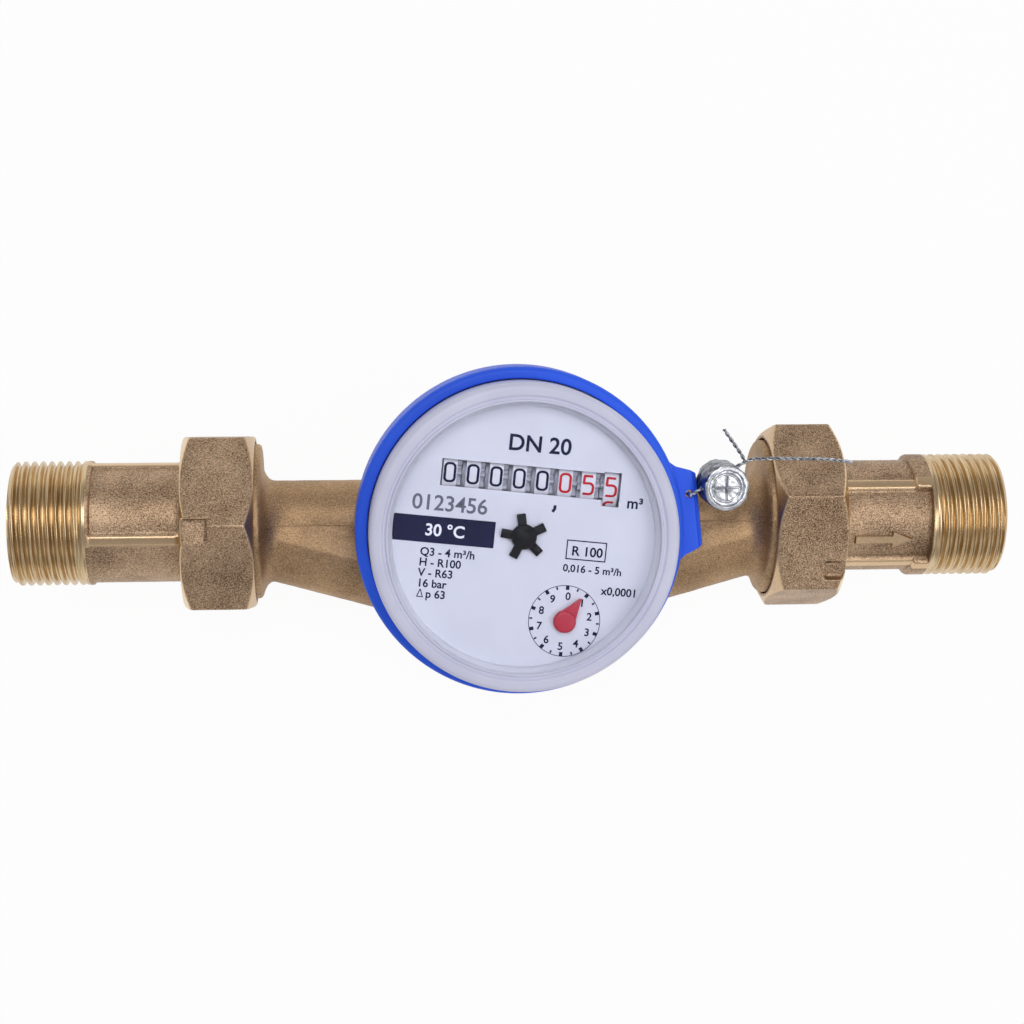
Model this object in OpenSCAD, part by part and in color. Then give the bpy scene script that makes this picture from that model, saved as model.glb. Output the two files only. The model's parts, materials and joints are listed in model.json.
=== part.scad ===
// Single-jet water meter with a dry magnetic register, two union nuts and two threaded tails.
// Water flows along +X, +Z is up, and the origin lies on the floor under the dial's centre.

/* [Body] */
// Length over the two threaded ends of the body
body_len = 130; // [128:1:150]
// Height of the pipe axis above the foot
axis_h = 22.5; // [22.5:0.5:26]
// Outside diameter of the threaded body ends
end_d = 33.25; // [33:0.05:34]
// Length of each threaded body end
end_len = 11.5; // [11.2:0.1:12.5]
// Bore of the inlet and outlet ports
port_d = 18; // [16:0.5:18.5]
// Bore of the jet passages where they meet the chamber
jet_d = 11; // [8:0.5:11]
// Angle between the jet passages and the pipe axis
jet_angle = 15.5; // [14:0.5:17]
// Outside diameter of the jet passages
passage_d = 20; // [19.8:0.2:22.8]
// Sideways offset of the jet passages at the body ends
passage_shift = 2; // [1.6:0.1:2.4]
// Outside diameter of the straight neck beside each jet passage
neck_d = 17.4; // [16:0.2:20]
// Diameter of the foot
foot_d = 30.8; // [26:0.2:33]
// Height of the foot
foot_t = 2.2; // [1.4:0.1:3]
// Radius between the bottom and the wall of the bowl
bowl_round = 9; // [6:0.5:9.5]
// Width of the raised parting line along each passage
parting_w = 1.1; // [0.8:0.1:1.6]

/* [Chamber] */
// Inside diameter of the impeller chamber
chamber_d = 43; // [42:0.5:43.5]
// Wall of the bowl around the chamber
chamber_wall = 3.5; // [3:0.1:4]
// Depth of the chamber floor below the pipe axis
chamber_depth = 13; // [12:0.5:14]
// Height of the pressure plate's seat above the pipe axis
plate_seat_h = 6; // [5.8:0.1:6.4]
// Thickness of the pressure plate
plate_t = 2.7; // [2.5:0.1:3]
// Diameter of the pressure plate
plate_d = 48.6; // [48.2:0.1:49]
// Section diameter of the pressure plate's seal
seal_d = 1.8; // [1.6:0.1:2]
// Thickness of the threaded ring that holds the pressure plate
retainer_t = 2; // [1.8:0.1:2.2]
// Diameter of the threaded ring that holds the pressure plate
retainer_d = 54; // [53:0.2:55]
// Diameter of the impeller over its vanes
impeller_d = 39.6; // [36:0.2:40.4]
// Height of the impeller vanes
vane_h = 12; // [10:0.5:13]
// Number of impeller vanes
vane_count = 8; // [6:1:10]
// Diameter of the pin that carries the impeller
pivot_d = 2; // [1.6:0.1:2.4]

/* [Register] */
// Outside diameter of the register cup
cup_d = 58.6; // [58.2:0.1:58.8]
// Wall of the register cup
cup_wall = 0.8; // [0.7:0.1:0.9]
// Floor of the register cup
cup_floor = 1.2; // [1.1:0.1:1.3]
// Height of the dial's face above the pipe axis
dial_h = 30.5; // [30.4:0.1:31]
// Thickness of the dial
dial_t = 0.6; // [0.5:0.1:0.6]
// Visible diameter of the dial
dial_d = 53.4; // [52:0.2:54]
// Angle of the dial about the vertical axis
dial_turn = -5.9; // [-20:0.1:20]
// Outside diameter of the clear cover
cover_d = 63.1; // [62.9:0.1:63.2]
// Wall of the clear cover
cover_wall = 1.8; // [1.6:0.1:1.9]
// Height of the clear cover's top above the pipe axis
cover_h = 35.4; // [35:0.1:38]
// Thickness of the clear cover's top
cover_top = 1.8; // [1.5:0.1:2]

/* [Lock ring and seal] */
// Outside diameter of the lock ring
lock_d = 68; // [67.8:0.1:69]
// Height of the lock ring's top above the pipe axis
lock_h = 23.5; // [23:0.1:24.5]
// Height of the lock ring's lip over the cover's flange
lock_lip = 3.4; // [3:0.1:4]
// Diameter of the body's rim inside the lock ring
rim_d = 65; // [64.8:0.1:65.2]
// Height of the body's rim above the pipe axis
rim_h = 15.3; // [15:0.1:15.6]
// Thickness of the body's rim
rim_t = 2.4; // [2.2:0.1:2.6]
// Angle of the seal lug about the vertical axis
lug_turn = 6; // [0:0.5:15]
// Distance from the meter's axis to the seal lug's outer edge
lug_reach = 38; // [37.6:0.1:38.2]
// Width of the seal lug's outer edge
lug_w = 15; // [13:0.5:17]
// Diameter of the lead seal
lead_d = 9.8; // [9:0.1:10.2]
// Length of the lead seal
lead_len = 8; // [7:0.1:9]
// Diameter of the twisted seal wire
wire_d = 1.1; // [0.9:0.1:1.3]

/* [Union ends] */
// Total length over the tails
total_len = 212; // [200:1:230]
// Width of the union nuts across their flats
nut_af = 36.2; // [36:0.1:38.6]
// Length of the union nuts
nut_len = 15.3; // [14.8:0.1:15.6]
// Thickness of the lip inside each union nut
nut_lip = 1.7; // [1.5:0.1:2]
// Thickness of the union gaskets
gasket_t = 1.4; // [1.2:0.1:1.6]
// Thickness of the flange on each tail
tail_flange = 1.8; // [1.6:0.1:2]
// Outside diameter of the tails' pipe thread
thread_d = 26.44; // [26:0.02:26.6]
// Length of the tails' pipe thread
thread_len = 15.8; // [14:0.2:17]
// Bore of the tails
tail_bore = 19; // [17:0.5:20]
// Depth of the grainy panels between the inlet tail's ribs
panel_depth = 0.5; // [0.3:0.1:0.6]
// Neck diameter of the outlet tail
slim_neck_d = 24; // [23.4:0.1:25]

/* [Counter] */
// Distance between neighbouring number wheels
wheel_pitch = 4.7; // [4.7:0.02:4.76]
// Diameter of the number wheels
wheel_d = 16; // [15.8:0.02:16]
// Width of the number wheels' printed rims
wheel_rim = 2.85; // [2.75:0.01:2.9]
// Module of the small gears
gear_module = 0.4; // [0.39:0.005:0.4]
// Module of the number wheels' carry teeth
carry_module = 0.7; // [0.68:0.01:0.7]
// Diameter of the number wheels' shafts
shaft_d = 1.6; // [1.4:0.05:1.7]
// Diameter of the small arbors
arbor_d = 1.2; // [1:0.05:1.3]

/* [Clearances] */
// Gap between pieces of different bodies
clear = 0.3; // [0.25:0.01:0.32]
// Radial gap of running fits
run_fit = 0.05; // [0.03:0.01:0.07]
// Backlash of the gears
backlash = 0.08; // [0.06:0.01:0.12]

/* [Hidden] */
$fn = 96;
small_fn = 48;
wheel_count = 8;

brass_cast = "darkgoldenrod";
brass_turned = "gold";
white_plastic = "whitesmoke";
blue_plastic = "royalblue";
steel = "silver";
dark = "dimgray";

// Heights of the stack, measured from the floor
chamber_floor_z = axis_h - chamber_depth;
plate_z = axis_h + plate_seat_h;
plate_top_z = plate_z + plate_t;
retainer_top_z = plate_top_z + retainer_t;
cup_z = retainer_top_z + clear;
floor_z = cup_z + cup_floor;
rim_z = axis_h + rim_h;
lock_top_z = axis_h + lock_h;
lip_z = lock_top_z - lock_lip;
dial_top_z = axis_h + dial_h;
dial_z = dial_top_z - dial_t;
cover_top_z = axis_h + cover_h;
cover_z = rim_z + clear;

// Radii of the body
chamber_r = chamber_d / 2;
bowl_r = chamber_r + chamber_wall;
plate_r = plate_d / 2;
retainer_r = retainer_d / 2;
cup_r = cup_d / 2;
recess_r = cup_r + clear;
rim_r = rim_d / 2;
cover_r = cover_d / 2;
lock_r = lock_d / 2;
hook = 1.2;
seal_groove_r = plate_r - seal_d - 2 * clear;
neck_z = axis_h + 3;
end_x = body_len / 2 - end_len;
port_depth = end_len + 1;
funnel_len = 12;
jet_reach = end_x / cos(jet_angle) + jet_d / 2 * tan(jet_angle);
fillet_r = 5;
strainer_t = 1.2;
strainer_r = port_d / 2 + 1.8;

// Pressure plate and magnets
dome_r = 9;
dome_wall = 1.8;
dome_roof = 1.2;
magnet_t = 3.5;
dome_inner_z = retainer_top_z - dome_roof;
spindle_r = 0.7;
spindle_depth = 0.6;
hub_r = 3.4;
spigot_r = 2;
hub_z = axis_h - 0.75 * vane_h;
hub_top_z = plate_z - 1;
magnet_z = hub_top_z + clear;
pivot_tip_z = axis_h - 1.5;
pivot_depth = 4;

// Joined end pieces
gasket_x = body_len / 2;
flange_x = gasket_x + gasket_t;
lip_x = flange_x + tail_flange + clear;
nut_out_x = lip_x + nut_lip;
nut_in_x = nut_out_x - nut_len;
tail_end_x = total_len / 2;
thread_x = tail_end_x - thread_len;
thread_r = thread_d / 2;
nut_hole_r = thread_r + clear;
nut_corner_r = nut_af / 2 / cos(30);
nut_bore_r = end_d / 2 + clear;
inlet_pocket = [5.8, 8, 2.3];
inlet_pocket_shift = -2.4;
outlet_pocket = [4.8, 4, 1.8];
outlet_pocket_shift = -6.3;
outlet_pocket_turn = -30;
retainer_w = 6.5;
retainer_slot = [4, 4, 2];
retainer_slot_in = 7.5;
retainer_slot_z = 0.8;
window_end = 1.8;
window_low = 2.7;
window_h = 5.5;
roll_window = [3.55, 7];
roll_window_left = 1.75;
roll_window_low = 3.9;
arbor_hole_r = 1.1;
lead_tilt = 5.5;
lead_shift = [6.95, 1.82, -0.4];
knot_shift = [4.3, 4.9, 2.3];
knot_d = 2.2;
wire_tail = 1.2;
wire_rise = 0.3;
wire_bend = [0.9, 0.4, 0.9];
long_end = [[3.9, 0.9, 2.4], [10.4, 0.9, 3], [17, 0.6, 1.8], [22.4, -0.1, 0.8]];
short_end = [[-1, 1.8, 0.8], [-4.8, 7, 2]];
tail_flange_r = end_d / 2 - 1.4;
collar_len = 3.5;
inlet_collar_len = 0.9;
rib_drop = 0.2;
inlet_nut_turn = 4;
outlet_nut_turn = 18;
inlet_rib_turn = 72;
outlet_rib_turn = 37;

// Gear teeth
pressure_angle = 28;
addendum = 0.9;
dedendum = 1.15;
drive_teeth = 10;
slow_teeth = 40;
idler_teeth = 24;
pointer_pinion_teeth = 12;
counter_teeth = 16;
counter_idler_teeth = 36;
crown_teeth = 30;
ring_teeth = 20;
carry_pinion_teeth = 8;

// Heights of the gear levels
level_gap = 0.6;
gear_t = 1;
counter_z = floor_z + clear;
counter_t = 0.8;
first_z = floor_z + 2.8;
second_z = first_z + gear_t + level_gap;
third_z = second_z + gear_t + level_gap;
bridge_z = third_z + gear_t + 0.4;
bridge_t = 1;
bridge_r = cup_r - cup_wall - 0.4;
drum_z = dial_z - clear - wheel_d / 2;
arbor_z = floor_z - 0.4;
arbor_top_z = bridge_z + bridge_t - 0.2;
hand_z = dial_top_z + clear;
hand_t = 0.8;

// Places of the arbors in the dial's own frame
drive_at = [0, 0];
pointer_at = [10, -16.5];
reduction_turn = -120;
counter_turn = 68.2;
drum_y = 11.5;
first_wheel_x = 16.8;
function spread(a, b) = (a + b) * gear_module / 2;
function polar(r, a) = [r * cos(a), r * sin(a)];
function meet(p, q, a, b, side) =
  let (d = norm(q - p), u = (q - p) / d, along = (a * a - b * b + d * d) / (2 * d))
  p + along * u + side * sqrt(a * a - along * along) * [-u.y, u.x];
reduction_at = drive_at + polar(spread(drive_teeth, slow_teeth), reduction_turn);
idler_at = meet(reduction_at, pointer_at, spread(drive_teeth, idler_teeth),
                spread(idler_teeth, slow_teeth), -1);
counter_at = pointer_at + polar(spread(pointer_pinion_teeth, slow_teeth), counter_turn);
crown_r = crown_teeth * gear_module / 2;
crown_x = first_wheel_x + wheel_rim / 2 + addendum * gear_module + 0.6;
counter_pinion_at = [crown_x + drive_teeth * gear_module / 2, drum_y];
counter_idler_at = meet(counter_at, counter_pinion_at, spread(counter_teeth, counter_idler_teeth),
                        spread(counter_idler_teeth, counter_teeth), 1);

// Angle of a gear that meshes with another one, from the direction between their axes
function direction(p, q) = atan2(q.y - p.y, q.x - p.x);
function mesh(n1, phase1, n2, beta) = beta + 180 + 360 / n2 * (0.5 - n1 * (phase1 - beta) / 360);
drive_phase = 0;
reduction_phase = mesh(drive_teeth, drive_phase, slow_teeth, direction(drive_at, reduction_at));
idler_phase = mesh(drive_teeth, reduction_phase, idler_teeth, direction(reduction_at, idler_at));
pointer_phase = mesh(idler_teeth, idler_phase, slow_teeth, direction(idler_at, pointer_at));
counter_phase = mesh(pointer_pinion_teeth, pointer_phase, slow_teeth, direction(pointer_at, counter_at));
counter_idler_phase = mesh(counter_teeth, counter_phase, counter_idler_teeth,
                           direction(counter_at, counter_idler_at));
counter_pinion_phase = mesh(counter_idler_teeth, counter_idler_phase, counter_teeth,
                            direction(counter_idler_at, counter_pinion_at));
crown_phase = 180 / crown_teeth - (counter_pinion_phase - 180) * drive_teeth / crown_teeth;

// Carry between the number wheels
ring_r = ring_teeth * carry_module / 2;
carry_turn = -35;
carry_gap = 0.2;
carry_disc_t = 0.7;
ring_t = wheel_pitch - wheel_rim - carry_disc_t - carry_gap;
carry_spread = (ring_teeth + carry_pinion_teeth) * carry_module / 2;
carry_disc_r = ring_r - dedendum * carry_module - 0.1;
transfer_at = [drum_y, drum_z] + polar(carry_spread, carry_turn);
carry_lag = 40;
digits_shown = [5.2, 5, 0, 0, 0, 0, 0, 0];
shaft_left_x = first_wheel_x - (wheel_count - 1) * wheel_pitch - 4.9;
shaft_right_x = counter_pinion_at.x + 2.4;
bracket_t = 1;
post_inset = 2.2;

// Flank of an involute tooth as half its angle at a radius
function involute_turn(a) = tan(a) * 180 / PI - a;
function half_tooth(n, m, r) =
  let (pitch = n * m / 2, base = pitch * cos(pressure_angle))
  90 / n - backlash / pitch * 45 / PI + involute_turn(pressure_angle)
  - involute_turn(acos(min(1, base / max(r, base))));
function tooth_radii(n, m) =
  [n * m / 2 - dedendum * m, n * m / 2 - 0.4 * m, n * m / 2 + 0.3 * m, n * m / 2 + addendum * m];
function tooth(n, m, at) =
  let (radii = tooth_radii(n, m))
  concat([for (i = [0:3]) polar(radii[i], at - half_tooth(n, m, radii[i]))],
         [for (i = [3:-1:0]) polar(radii[i], at + half_tooth(n, m, radii[i]))]);
function gear_outline(n, m, phase) = [for (k = [0:n - 1]) each tooth(n, m, phase + k * 360 / n)];
function arc(c, r, a, b, steps = 6) = [for (i = [0:steps]) c + polar(r, a + (b - a) * i / steps)];

module spur(teeth, phase, z, width, m = gear_module) {
  translate([0, 0, z]) linear_extrude(width) polygon(gear_outline(teeth, m, phase));
}

module disc(r, z0, z1) {
  translate([0, 0, z0]) cylinder(r = r, h = z1 - z0, $fn = small_fn);
}

module along_x(x0, x1, r) {
  translate([x0, 0, 0]) rotate([0, 90, 0]) cylinder(r = r, h = x1 - x0);
}

module at_axis() {
  translate([0, 0, axis_h]) children();
}

module both_ends() {
  for (side = [0, 1]) mirror([side, 0, 0]) children();
}

module in_register(at = [0, 0]) {
  rotate([0, 0, dial_turn]) translate([at.x, at.y, 0]) children();
}

// Drawing plane stood upright, with its height along Z and its thickness along X
module upright(x) {
  translate([x, 0, 0]) rotate([90, 0, 90]) children();
}

// Body casting
module bowl() {
  waist = [rim_r - hook - 2 * clear, axis_h + rim_h - rim_t - 2.4];
  rotate_extrude()
    polygon(concat([[0, 0], [foot_d / 2 - 0.5, 0], [foot_d / 2, 0.5], [foot_d / 2, foot_t]],
                   arc([bowl_r - bowl_round, foot_t + bowl_round], bowl_round, -90, 0),
                   [[bowl_r, neck_z], waist, [waist.x, rim_z - rim_t], [rim_r, rim_z - rim_t],
                    [rim_r, rim_z - 0.4], [rim_r - 0.4, rim_z], [0, rim_z]]));
}

module bowl_cavity() {
  top = rim_z + 1;
  rotate_extrude()
    polygon(concat([[0, chamber_floor_z]],
                   arc([chamber_r - 2, chamber_floor_z + 2], 2, -90, 0),
                   [[chamber_r, plate_z], [plate_r + clear, plate_z], [plate_r + clear, plate_top_z],
                    [retainer_r + clear, plate_top_z], [retainer_r + clear, retainer_top_z],
                    [recess_r, retainer_top_z], [recess_r, top], [0, top]]));
}

module jet_axis() {
  translate([end_x, -passage_shift, 0]) rotate([0, 90, 180 + jet_angle]) children();
}

module body_arm() {
  along_x(end_x, body_len / 2, end_d / 2);
  along_x(0, end_x + 1, neck_d / 2);
  intersection() {
    jet_axis() cylinder(d = passage_d, h = jet_reach + passage_d);
    translate([0, -body_len / 2, -axis_h]) cube([body_len, body_len, 2 * axis_h]);
  }
  fillet_base = passage_d / 2 - 0.4;
  translate([end_x, -passage_shift, 0]) rotate([0, -90, 0]) rotate_extrude()
    polygon(concat([[0, 0]], arc([fillet_base + fillet_r, fillet_r], fillet_r, 270, 180),
                   [[0, fillet_r]]));
  parting_h = passage_d / 2 + 0.35;
  jet_axis() translate([-parting_h, -parting_w / 2, 0])
    cube([parting_h, parting_w, (end_x - rim_r) / cos(jet_angle) + 3]);
}

module body_arm_bore() {
  along_x(body_len / 2 - port_depth, body_len / 2 + 1, port_d / 2);
  jet_axis() cylinder(d1 = port_d - 2, d2 = jet_d, h = funnel_len);
  jet_axis() translate([0, 0, funnel_len - 0.1]) cylinder(d = jet_d, h = jet_reach - funnel_len);
}

module meter_body() color(brass_cast) difference() {
  union() {
    bowl();
    at_axis() both_ends() body_arm();
  }
  bowl_cavity();
  at_axis() both_ends() body_arm_bore();
  at_axis() along_x(-body_len / 2 - 1, -body_len / 2 + strainer_t + clear, strainer_r + clear);
  disc(pivot_d / 2 + run_fit, chamber_floor_z - pivot_depth, chamber_floor_z + 1);
}

module inlet_strainer() color(white_plastic) at_axis() translate([-body_len / 2 + clear, 0, 0])
  rotate([0, 90, 0]) linear_extrude(strainer_t) difference() {
    circle(strainer_r);
    step = 3.1;
    for (row = [-3:3], col = [-3:3])
      let (p = [(col + row / 2) * step, row * step * sin(60)])
        if (norm(p) < strainer_r - 1.9) translate(p) circle(1.1, $fn = small_fn);
  }

// Impeller and its bearings
module pivot_pin() color(steel)
  disc(pivot_d / 2, chamber_floor_z - pivot_depth, pivot_tip_z);

module impeller() color(white_plastic) difference() {
  union() {
    disc(hub_r, hub_z, hub_top_z);
    disc(hub_r + 6, hub_z, hub_z + 1.2);
    disc(spigot_r, hub_top_z, magnet_z + magnet_t + 0.2);
    disc(spindle_r, magnet_z + magnet_t, dome_inner_z + spindle_depth - 0.2);
    for (k = [0:vane_count - 1])
      rotate([0, 0, k * 360 / vane_count]) translate([0, -0.6, hub_z]) cube([impeller_d / 2, 1.2, vane_h]);
  }
  disc(pivot_d / 2 + run_fit, hub_z - 1, pivot_tip_z + 0.1);
}

module impeller_magnet() color(dark) difference() {
  disc(dome_r - dome_wall - 0.9, magnet_z, magnet_z + magnet_t);
  disc(spigot_r + run_fit, magnet_z - 1, magnet_z + magnet_t + 1);
}

module pressure_plate() color(brass_turned) difference() {
  union() {
    disc(seal_groove_r, plate_z, plate_top_z);
    disc(plate_r, plate_z + seal_d + 0.1, plate_top_z);
    disc(dome_r, plate_top_z - 1, retainer_top_z);
  }
  disc(dome_r - dome_wall, plate_z - 1, dome_inner_z);
  disc(spindle_r + run_fit, dome_inner_z - 1, dome_inner_z + spindle_depth);
}

module plate_seal_ring() color(dark)
  translate([0, 0, plate_z + seal_d / 2 + 0.05]) rotate_extrude()
    translate([(seal_groove_r + plate_r + clear) / 2, 0]) circle(d = seal_d, $fn = small_fn);

module magnet_shield() color(steel) difference() {
  disc(dome_r + 1.5, plate_top_z, retainer_top_z);
  disc(dome_r + run_fit, plate_top_z - 1, retainer_top_z + 1);
}

module retaining_ring() color(brass_turned) difference() {
  disc(retainer_r, plate_top_z, retainer_top_z);
  disc(retainer_r - retainer_w, plate_top_z - 1, retainer_top_z + 1);
  for (k = [0:3])
    rotate([0, 0, 45 + k * 90])
      translate([retainer_r - retainer_slot_in, -retainer_slot.y / 2, plate_top_z + retainer_slot_z])
        cube(retainer_slot);
}

// Register housing
module register_cup() color(white_plastic) {
  seat_r = cup_r - cup_wall + 0.4;
  difference() {
    disc(cup_r, cup_z, dial_top_z);
    disc(cup_r - cup_wall, floor_z, dial_z + 0.1);
    disc(seat_r, dial_z, dial_top_z + 1);
    for (at = [drive_at, reduction_at, pointer_at, counter_at, counter_pinion_at])
      in_register(at) disc(arbor_d / 2 + run_fit, arbor_z - 0.1, floor_z + 1);
  }
  in_register(counter_idler_at) disc(arbor_d / 2, floor_z - 0.1, counter_z + counter_t + 0.2);
}

module post_places() {
  for (turn = [-165, -114, -25, 90, 152]) rotate([0, 0, turn]) translate([bridge_r - post_inset, 0, 0]) children();
}

module shaft_bracket(x) {
  upright(x) translate([drum_y, 0]) linear_extrude(bracket_t) difference() {
    union() {
      translate([-1.8, bridge_z + 0.1]) square([3.6, drum_z - bridge_z]);
      translate([0, drum_z]) circle(1.8, $fn = small_fn);
    }
    translate([0, drum_z]) circle(shaft_d / 2 + run_fit, $fn = small_fn);
  }
}

module transfer_bracket(x) {
  boss_r = shaft_d / 2 + 0.5;
  upright(x) linear_extrude(bracket_t) difference() {
    union() {
      translate(transfer_at) circle(boss_r, $fn = small_fn);
      translate([transfer_at.x + 0.4, transfer_at.y]) square([boss_r - 0.4, bridge_z + 0.1 - transfer_at.y]);
    }
    translate(transfer_at) circle(shaft_d / 2 + run_fit, $fn = small_fn);
  }
}

module gear_bridge() color(white_plastic) in_register() {
  opening_x = shaft_left_x + 1.6;
  opening_w = crown_x + 0.9 - opening_x;
  opening_y = drum_y - wheel_d / 2 - 0.5;
  difference() {
    disc(bridge_r, bridge_z, bridge_z + bridge_t);
    translate([opening_x, opening_y, bridge_z - 1]) cube([opening_w, wheel_d + 1, bridge_t + 2]);
    for (at = [reduction_at, idler_at, pointer_at, counter_at, counter_pinion_at])
      translate([at.x, at.y, 0]) disc(arbor_d / 2 + run_fit, bridge_z - 1, bridge_z + bridge_t + 1);
    disc(arbor_d / 2 + run_fit, bridge_z - 1, bridge_z + bridge_t + 1);
  }
  post_places() disc(1.4, floor_z, bridge_z + 0.1);
  post_places() disc(1.4, bridge_z + bridge_t - 0.1, dial_z);
  shaft_bracket(shaft_left_x);
  shaft_bracket(shaft_right_x - bracket_t);
  transfer_bracket(first_wheel_x - (wheel_count - 1) * wheel_pitch - 0.6);
  transfer_bracket(first_wheel_x - 0.5);
}

module number_shaft() color(steel) in_register()
  translate([0, drum_y, drum_z]) along_x(shaft_left_x, shaft_right_x, shaft_d / 2);

module transfer_shaft() color(steel) in_register() translate([0, transfer_at.x, transfer_at.y])
  along_x(first_wheel_x - (wheel_count - 1) * wheel_pitch - 0.6, first_wheel_x + 0.5, shaft_d / 2);

// Gear train from the magnet to the number wheels
module arbor(z1) {
  disc(arbor_d / 2, arbor_z, z1);
}

module drive_magnet() color(dark) difference() {
  disc(dome_r - 3, floor_z + clear, floor_z + clear + 2);
  disc(arbor_d / 2 + run_fit, floor_z, floor_z + 4);
}

module drive_arbor() color(steel) in_register(drive_at) {
  arbor(hand_z + hand_t);
  spur(drive_teeth, drive_phase, first_z, gear_t);
}

module star_wheel() color("black") in_register(drive_at) translate([0, 0, hand_z]) linear_extrude(hand_t) {
  star_turn = 102.9;
  arm_w = 1.8;
  difference() {
    union() {
      circle(2.6, $fn = small_fn);
      for (k = [0:4]) rotate(star_turn + k * 72) translate([1, -arm_w / 2]) square([3.7, arm_w]);
    }
    circle(arbor_d / 2 + run_fit, $fn = small_fn);
  }
}

module reduction_gear() color(white_plastic) in_register(reduction_at) {
  arbor(arbor_top_z);
  spur(slow_teeth, reduction_phase, first_z, gear_t);
  spur(drive_teeth, reduction_phase, first_z + gear_t - 0.1, level_gap + gear_t + 0.1);
}

// The idler hangs from the bridge, because the reduction gear turns under it
module idler_gear() color(white_plastic) in_register(idler_at) {
  head_z = bridge_z + bridge_t + 0.1;
  disc(arbor_d / 2, second_z, head_z + 0.1);
  disc(arbor_d, head_z, head_z + 0.6);
  spur(idler_teeth, idler_phase, second_z, gear_t);
}

module pointer_gear() color(white_plastic) in_register(pointer_at) {
  arbor(hand_z + hand_t);
  spur(slow_teeth, pointer_phase, second_z, gear_t);
  spur(pointer_pinion_teeth, pointer_phase, second_z + gear_t - 0.1, level_gap + gear_t + 0.1);
}

module litre_pointer() color("red") in_register(pointer_at) difference() {
  pointer_turn = 60;
  union() {
    disc(2.3, hand_z, hand_z + hand_t);
    rotate([0, 0, pointer_turn]) translate([0, 0, hand_z]) linear_extrude(hand_t)
      polygon([[0, -2.2], [5.7, -0.15], [5.7, 0.15], [0, 2.2]]);
  }
  disc(arbor_d / 2 + run_fit, hand_z - 1, hand_z + hand_t + 1);
}

module counter_gear() color(white_plastic) in_register(counter_at) {
  arbor(arbor_top_z);
  spur(counter_teeth, counter_phase, counter_z, counter_t);
  spur(slow_teeth, counter_phase, third_z, gear_t);
}

module counter_idler() color(white_plastic) in_register(counter_idler_at) difference() {
  spur(counter_idler_teeth, counter_idler_phase, counter_z, counter_t);
  disc(arbor_d / 2 + run_fit, counter_z - 1, counter_z + counter_t + 1);
}

module counter_pinion() color(white_plastic) in_register(counter_pinion_at) {
  arbor(arbor_top_z);
  spur(counter_teeth, counter_pinion_phase, counter_z, counter_t);
  spur(drive_teeth, counter_pinion_phase, drum_z - crown_r - 1, 2);
}

// Crown teeth on the face of the first number wheel
module crown() {
  upright(0) difference() {
    linear_extrude(crown_x) circle(crown_r + 0.9);
    translate([0, 0, -1]) linear_extrude(crown_x + 2) circle(crown_r - 0.9);
    translate([0, 0, crown_x - dedendum * gear_module]) linear_extrude(crown_x) circle(crown_r + 2);
  }
}

module crown_tooth() {
  root = crown_x - dedendum * gear_module;
  tip = crown_x + addendum * gear_module;
  root_half = 0.34;
  tip_half = 0.1;
  face_w = 1.2;
  translate([0, 0, -crown_r - face_w / 2]) linear_extrude(face_w)
    polygon([[root - 0.1, -root_half], [root, -root_half], [tip, -tip_half],
             [tip, tip_half], [root, root_half], [root - 0.1, root_half]]);
}

module carry_tooth(at) {
  polygon(concat([polar(carry_disc_r / 2, at)], tooth(ring_teeth, carry_module, at)));
}

// Number wheel with a ring gear on its right and a carry disc with two teeth on its left
module number_wheel(k) {
  x = first_wheel_x - (k - 1) * wheel_pitch;
  left_x = x - wheel_rim / 2;
  right_x = x + wheel_rim / 2;
  carry_at = carry_turn - carry_lag - digits_shown[k - 1] * 36;
  color(k < 4 ? "crimson" : "ivory") in_register() translate([0, drum_y, drum_z]) difference() {
    union() {
      upright(left_x) linear_extrude(wheel_rim) circle(wheel_d / 2);
      upright(left_x - carry_disc_t) linear_extrude(carry_disc_t + 0.1) {
        circle(carry_disc_r);
        if (k < wheel_count)
          for (i = [-0.5, 0.5]) carry_tooth(carry_at + i * 360 / ring_teeth);
      }
      if (k > 1)
        upright(right_x - 0.1) linear_extrude(ring_t + 0.1)
          polygon(gear_outline(ring_teeth, carry_module, 0));
      if (k == 1) {
        intersection() {
          crown();
          along_x(right_x - 0.1, crown_x + 1, wheel_d);
        }
        for (i = [0:crown_teeth - 1]) rotate([crown_phase + i * 360 / crown_teeth, 0, 0]) crown_tooth();
      }
    }
    along_x(left_x - 2, crown_x + 2, shaft_d / 2 + run_fit);
  }
}

module transfer_pinion(k) {
  x = first_wheel_x - (k - 1) * wheel_pitch - wheel_rim / 2;
  width = wheel_pitch - wheel_rim;
  end_gap = 0.15;
  phase = mesh(ring_teeth, 0, carry_pinion_teeth, carry_turn);
  color(white_plastic) in_register() translate([0, transfer_at.x, transfer_at.y]) difference() {
    upright(x - width + end_gap) linear_extrude(width - 2 * end_gap)
      polygon(gear_outline(carry_pinion_teeth, carry_module, phase));
    along_x(x - width - 1, x + 1, shaft_d / 2 + run_fit);
  }
}

// Dial, bezel and clear cover
module dial_plate() color(white_plastic) in_register() difference() {
  disc(cup_r - cup_wall + 0.3, dial_z, dial_top_z);
  window_x = first_wheel_x - (wheel_count - 1) * wheel_pitch - window_end;
  window_w = (wheel_count - 1) * wheel_pitch + 2 * window_end;
  translate([window_x, drum_y - window_low, dial_z - 1]) cube([window_w, window_h, dial_t + 2]);
  translate([first_wheel_x - roll_window_left, drum_y - roll_window_low, dial_z - 1])
    cube([roll_window.x, roll_window.y, dial_t + 2]);
  for (at = [drive_at, pointer_at]) translate([at.x, at.y, 0]) disc(arbor_hole_r, dial_z - 1, dial_top_z + 1);
}

module dial_bezel() color(white_plastic) {
  top = cover_top_z - cover_top - 0.2;
  rotate_extrude()
    polygon([[dial_d / 2, dial_top_z], [cup_r, dial_top_z], [cup_r, top], [dial_d / 2 + 0.8, top],
             [dial_d / 2, top - 1.2]]);
}

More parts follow.
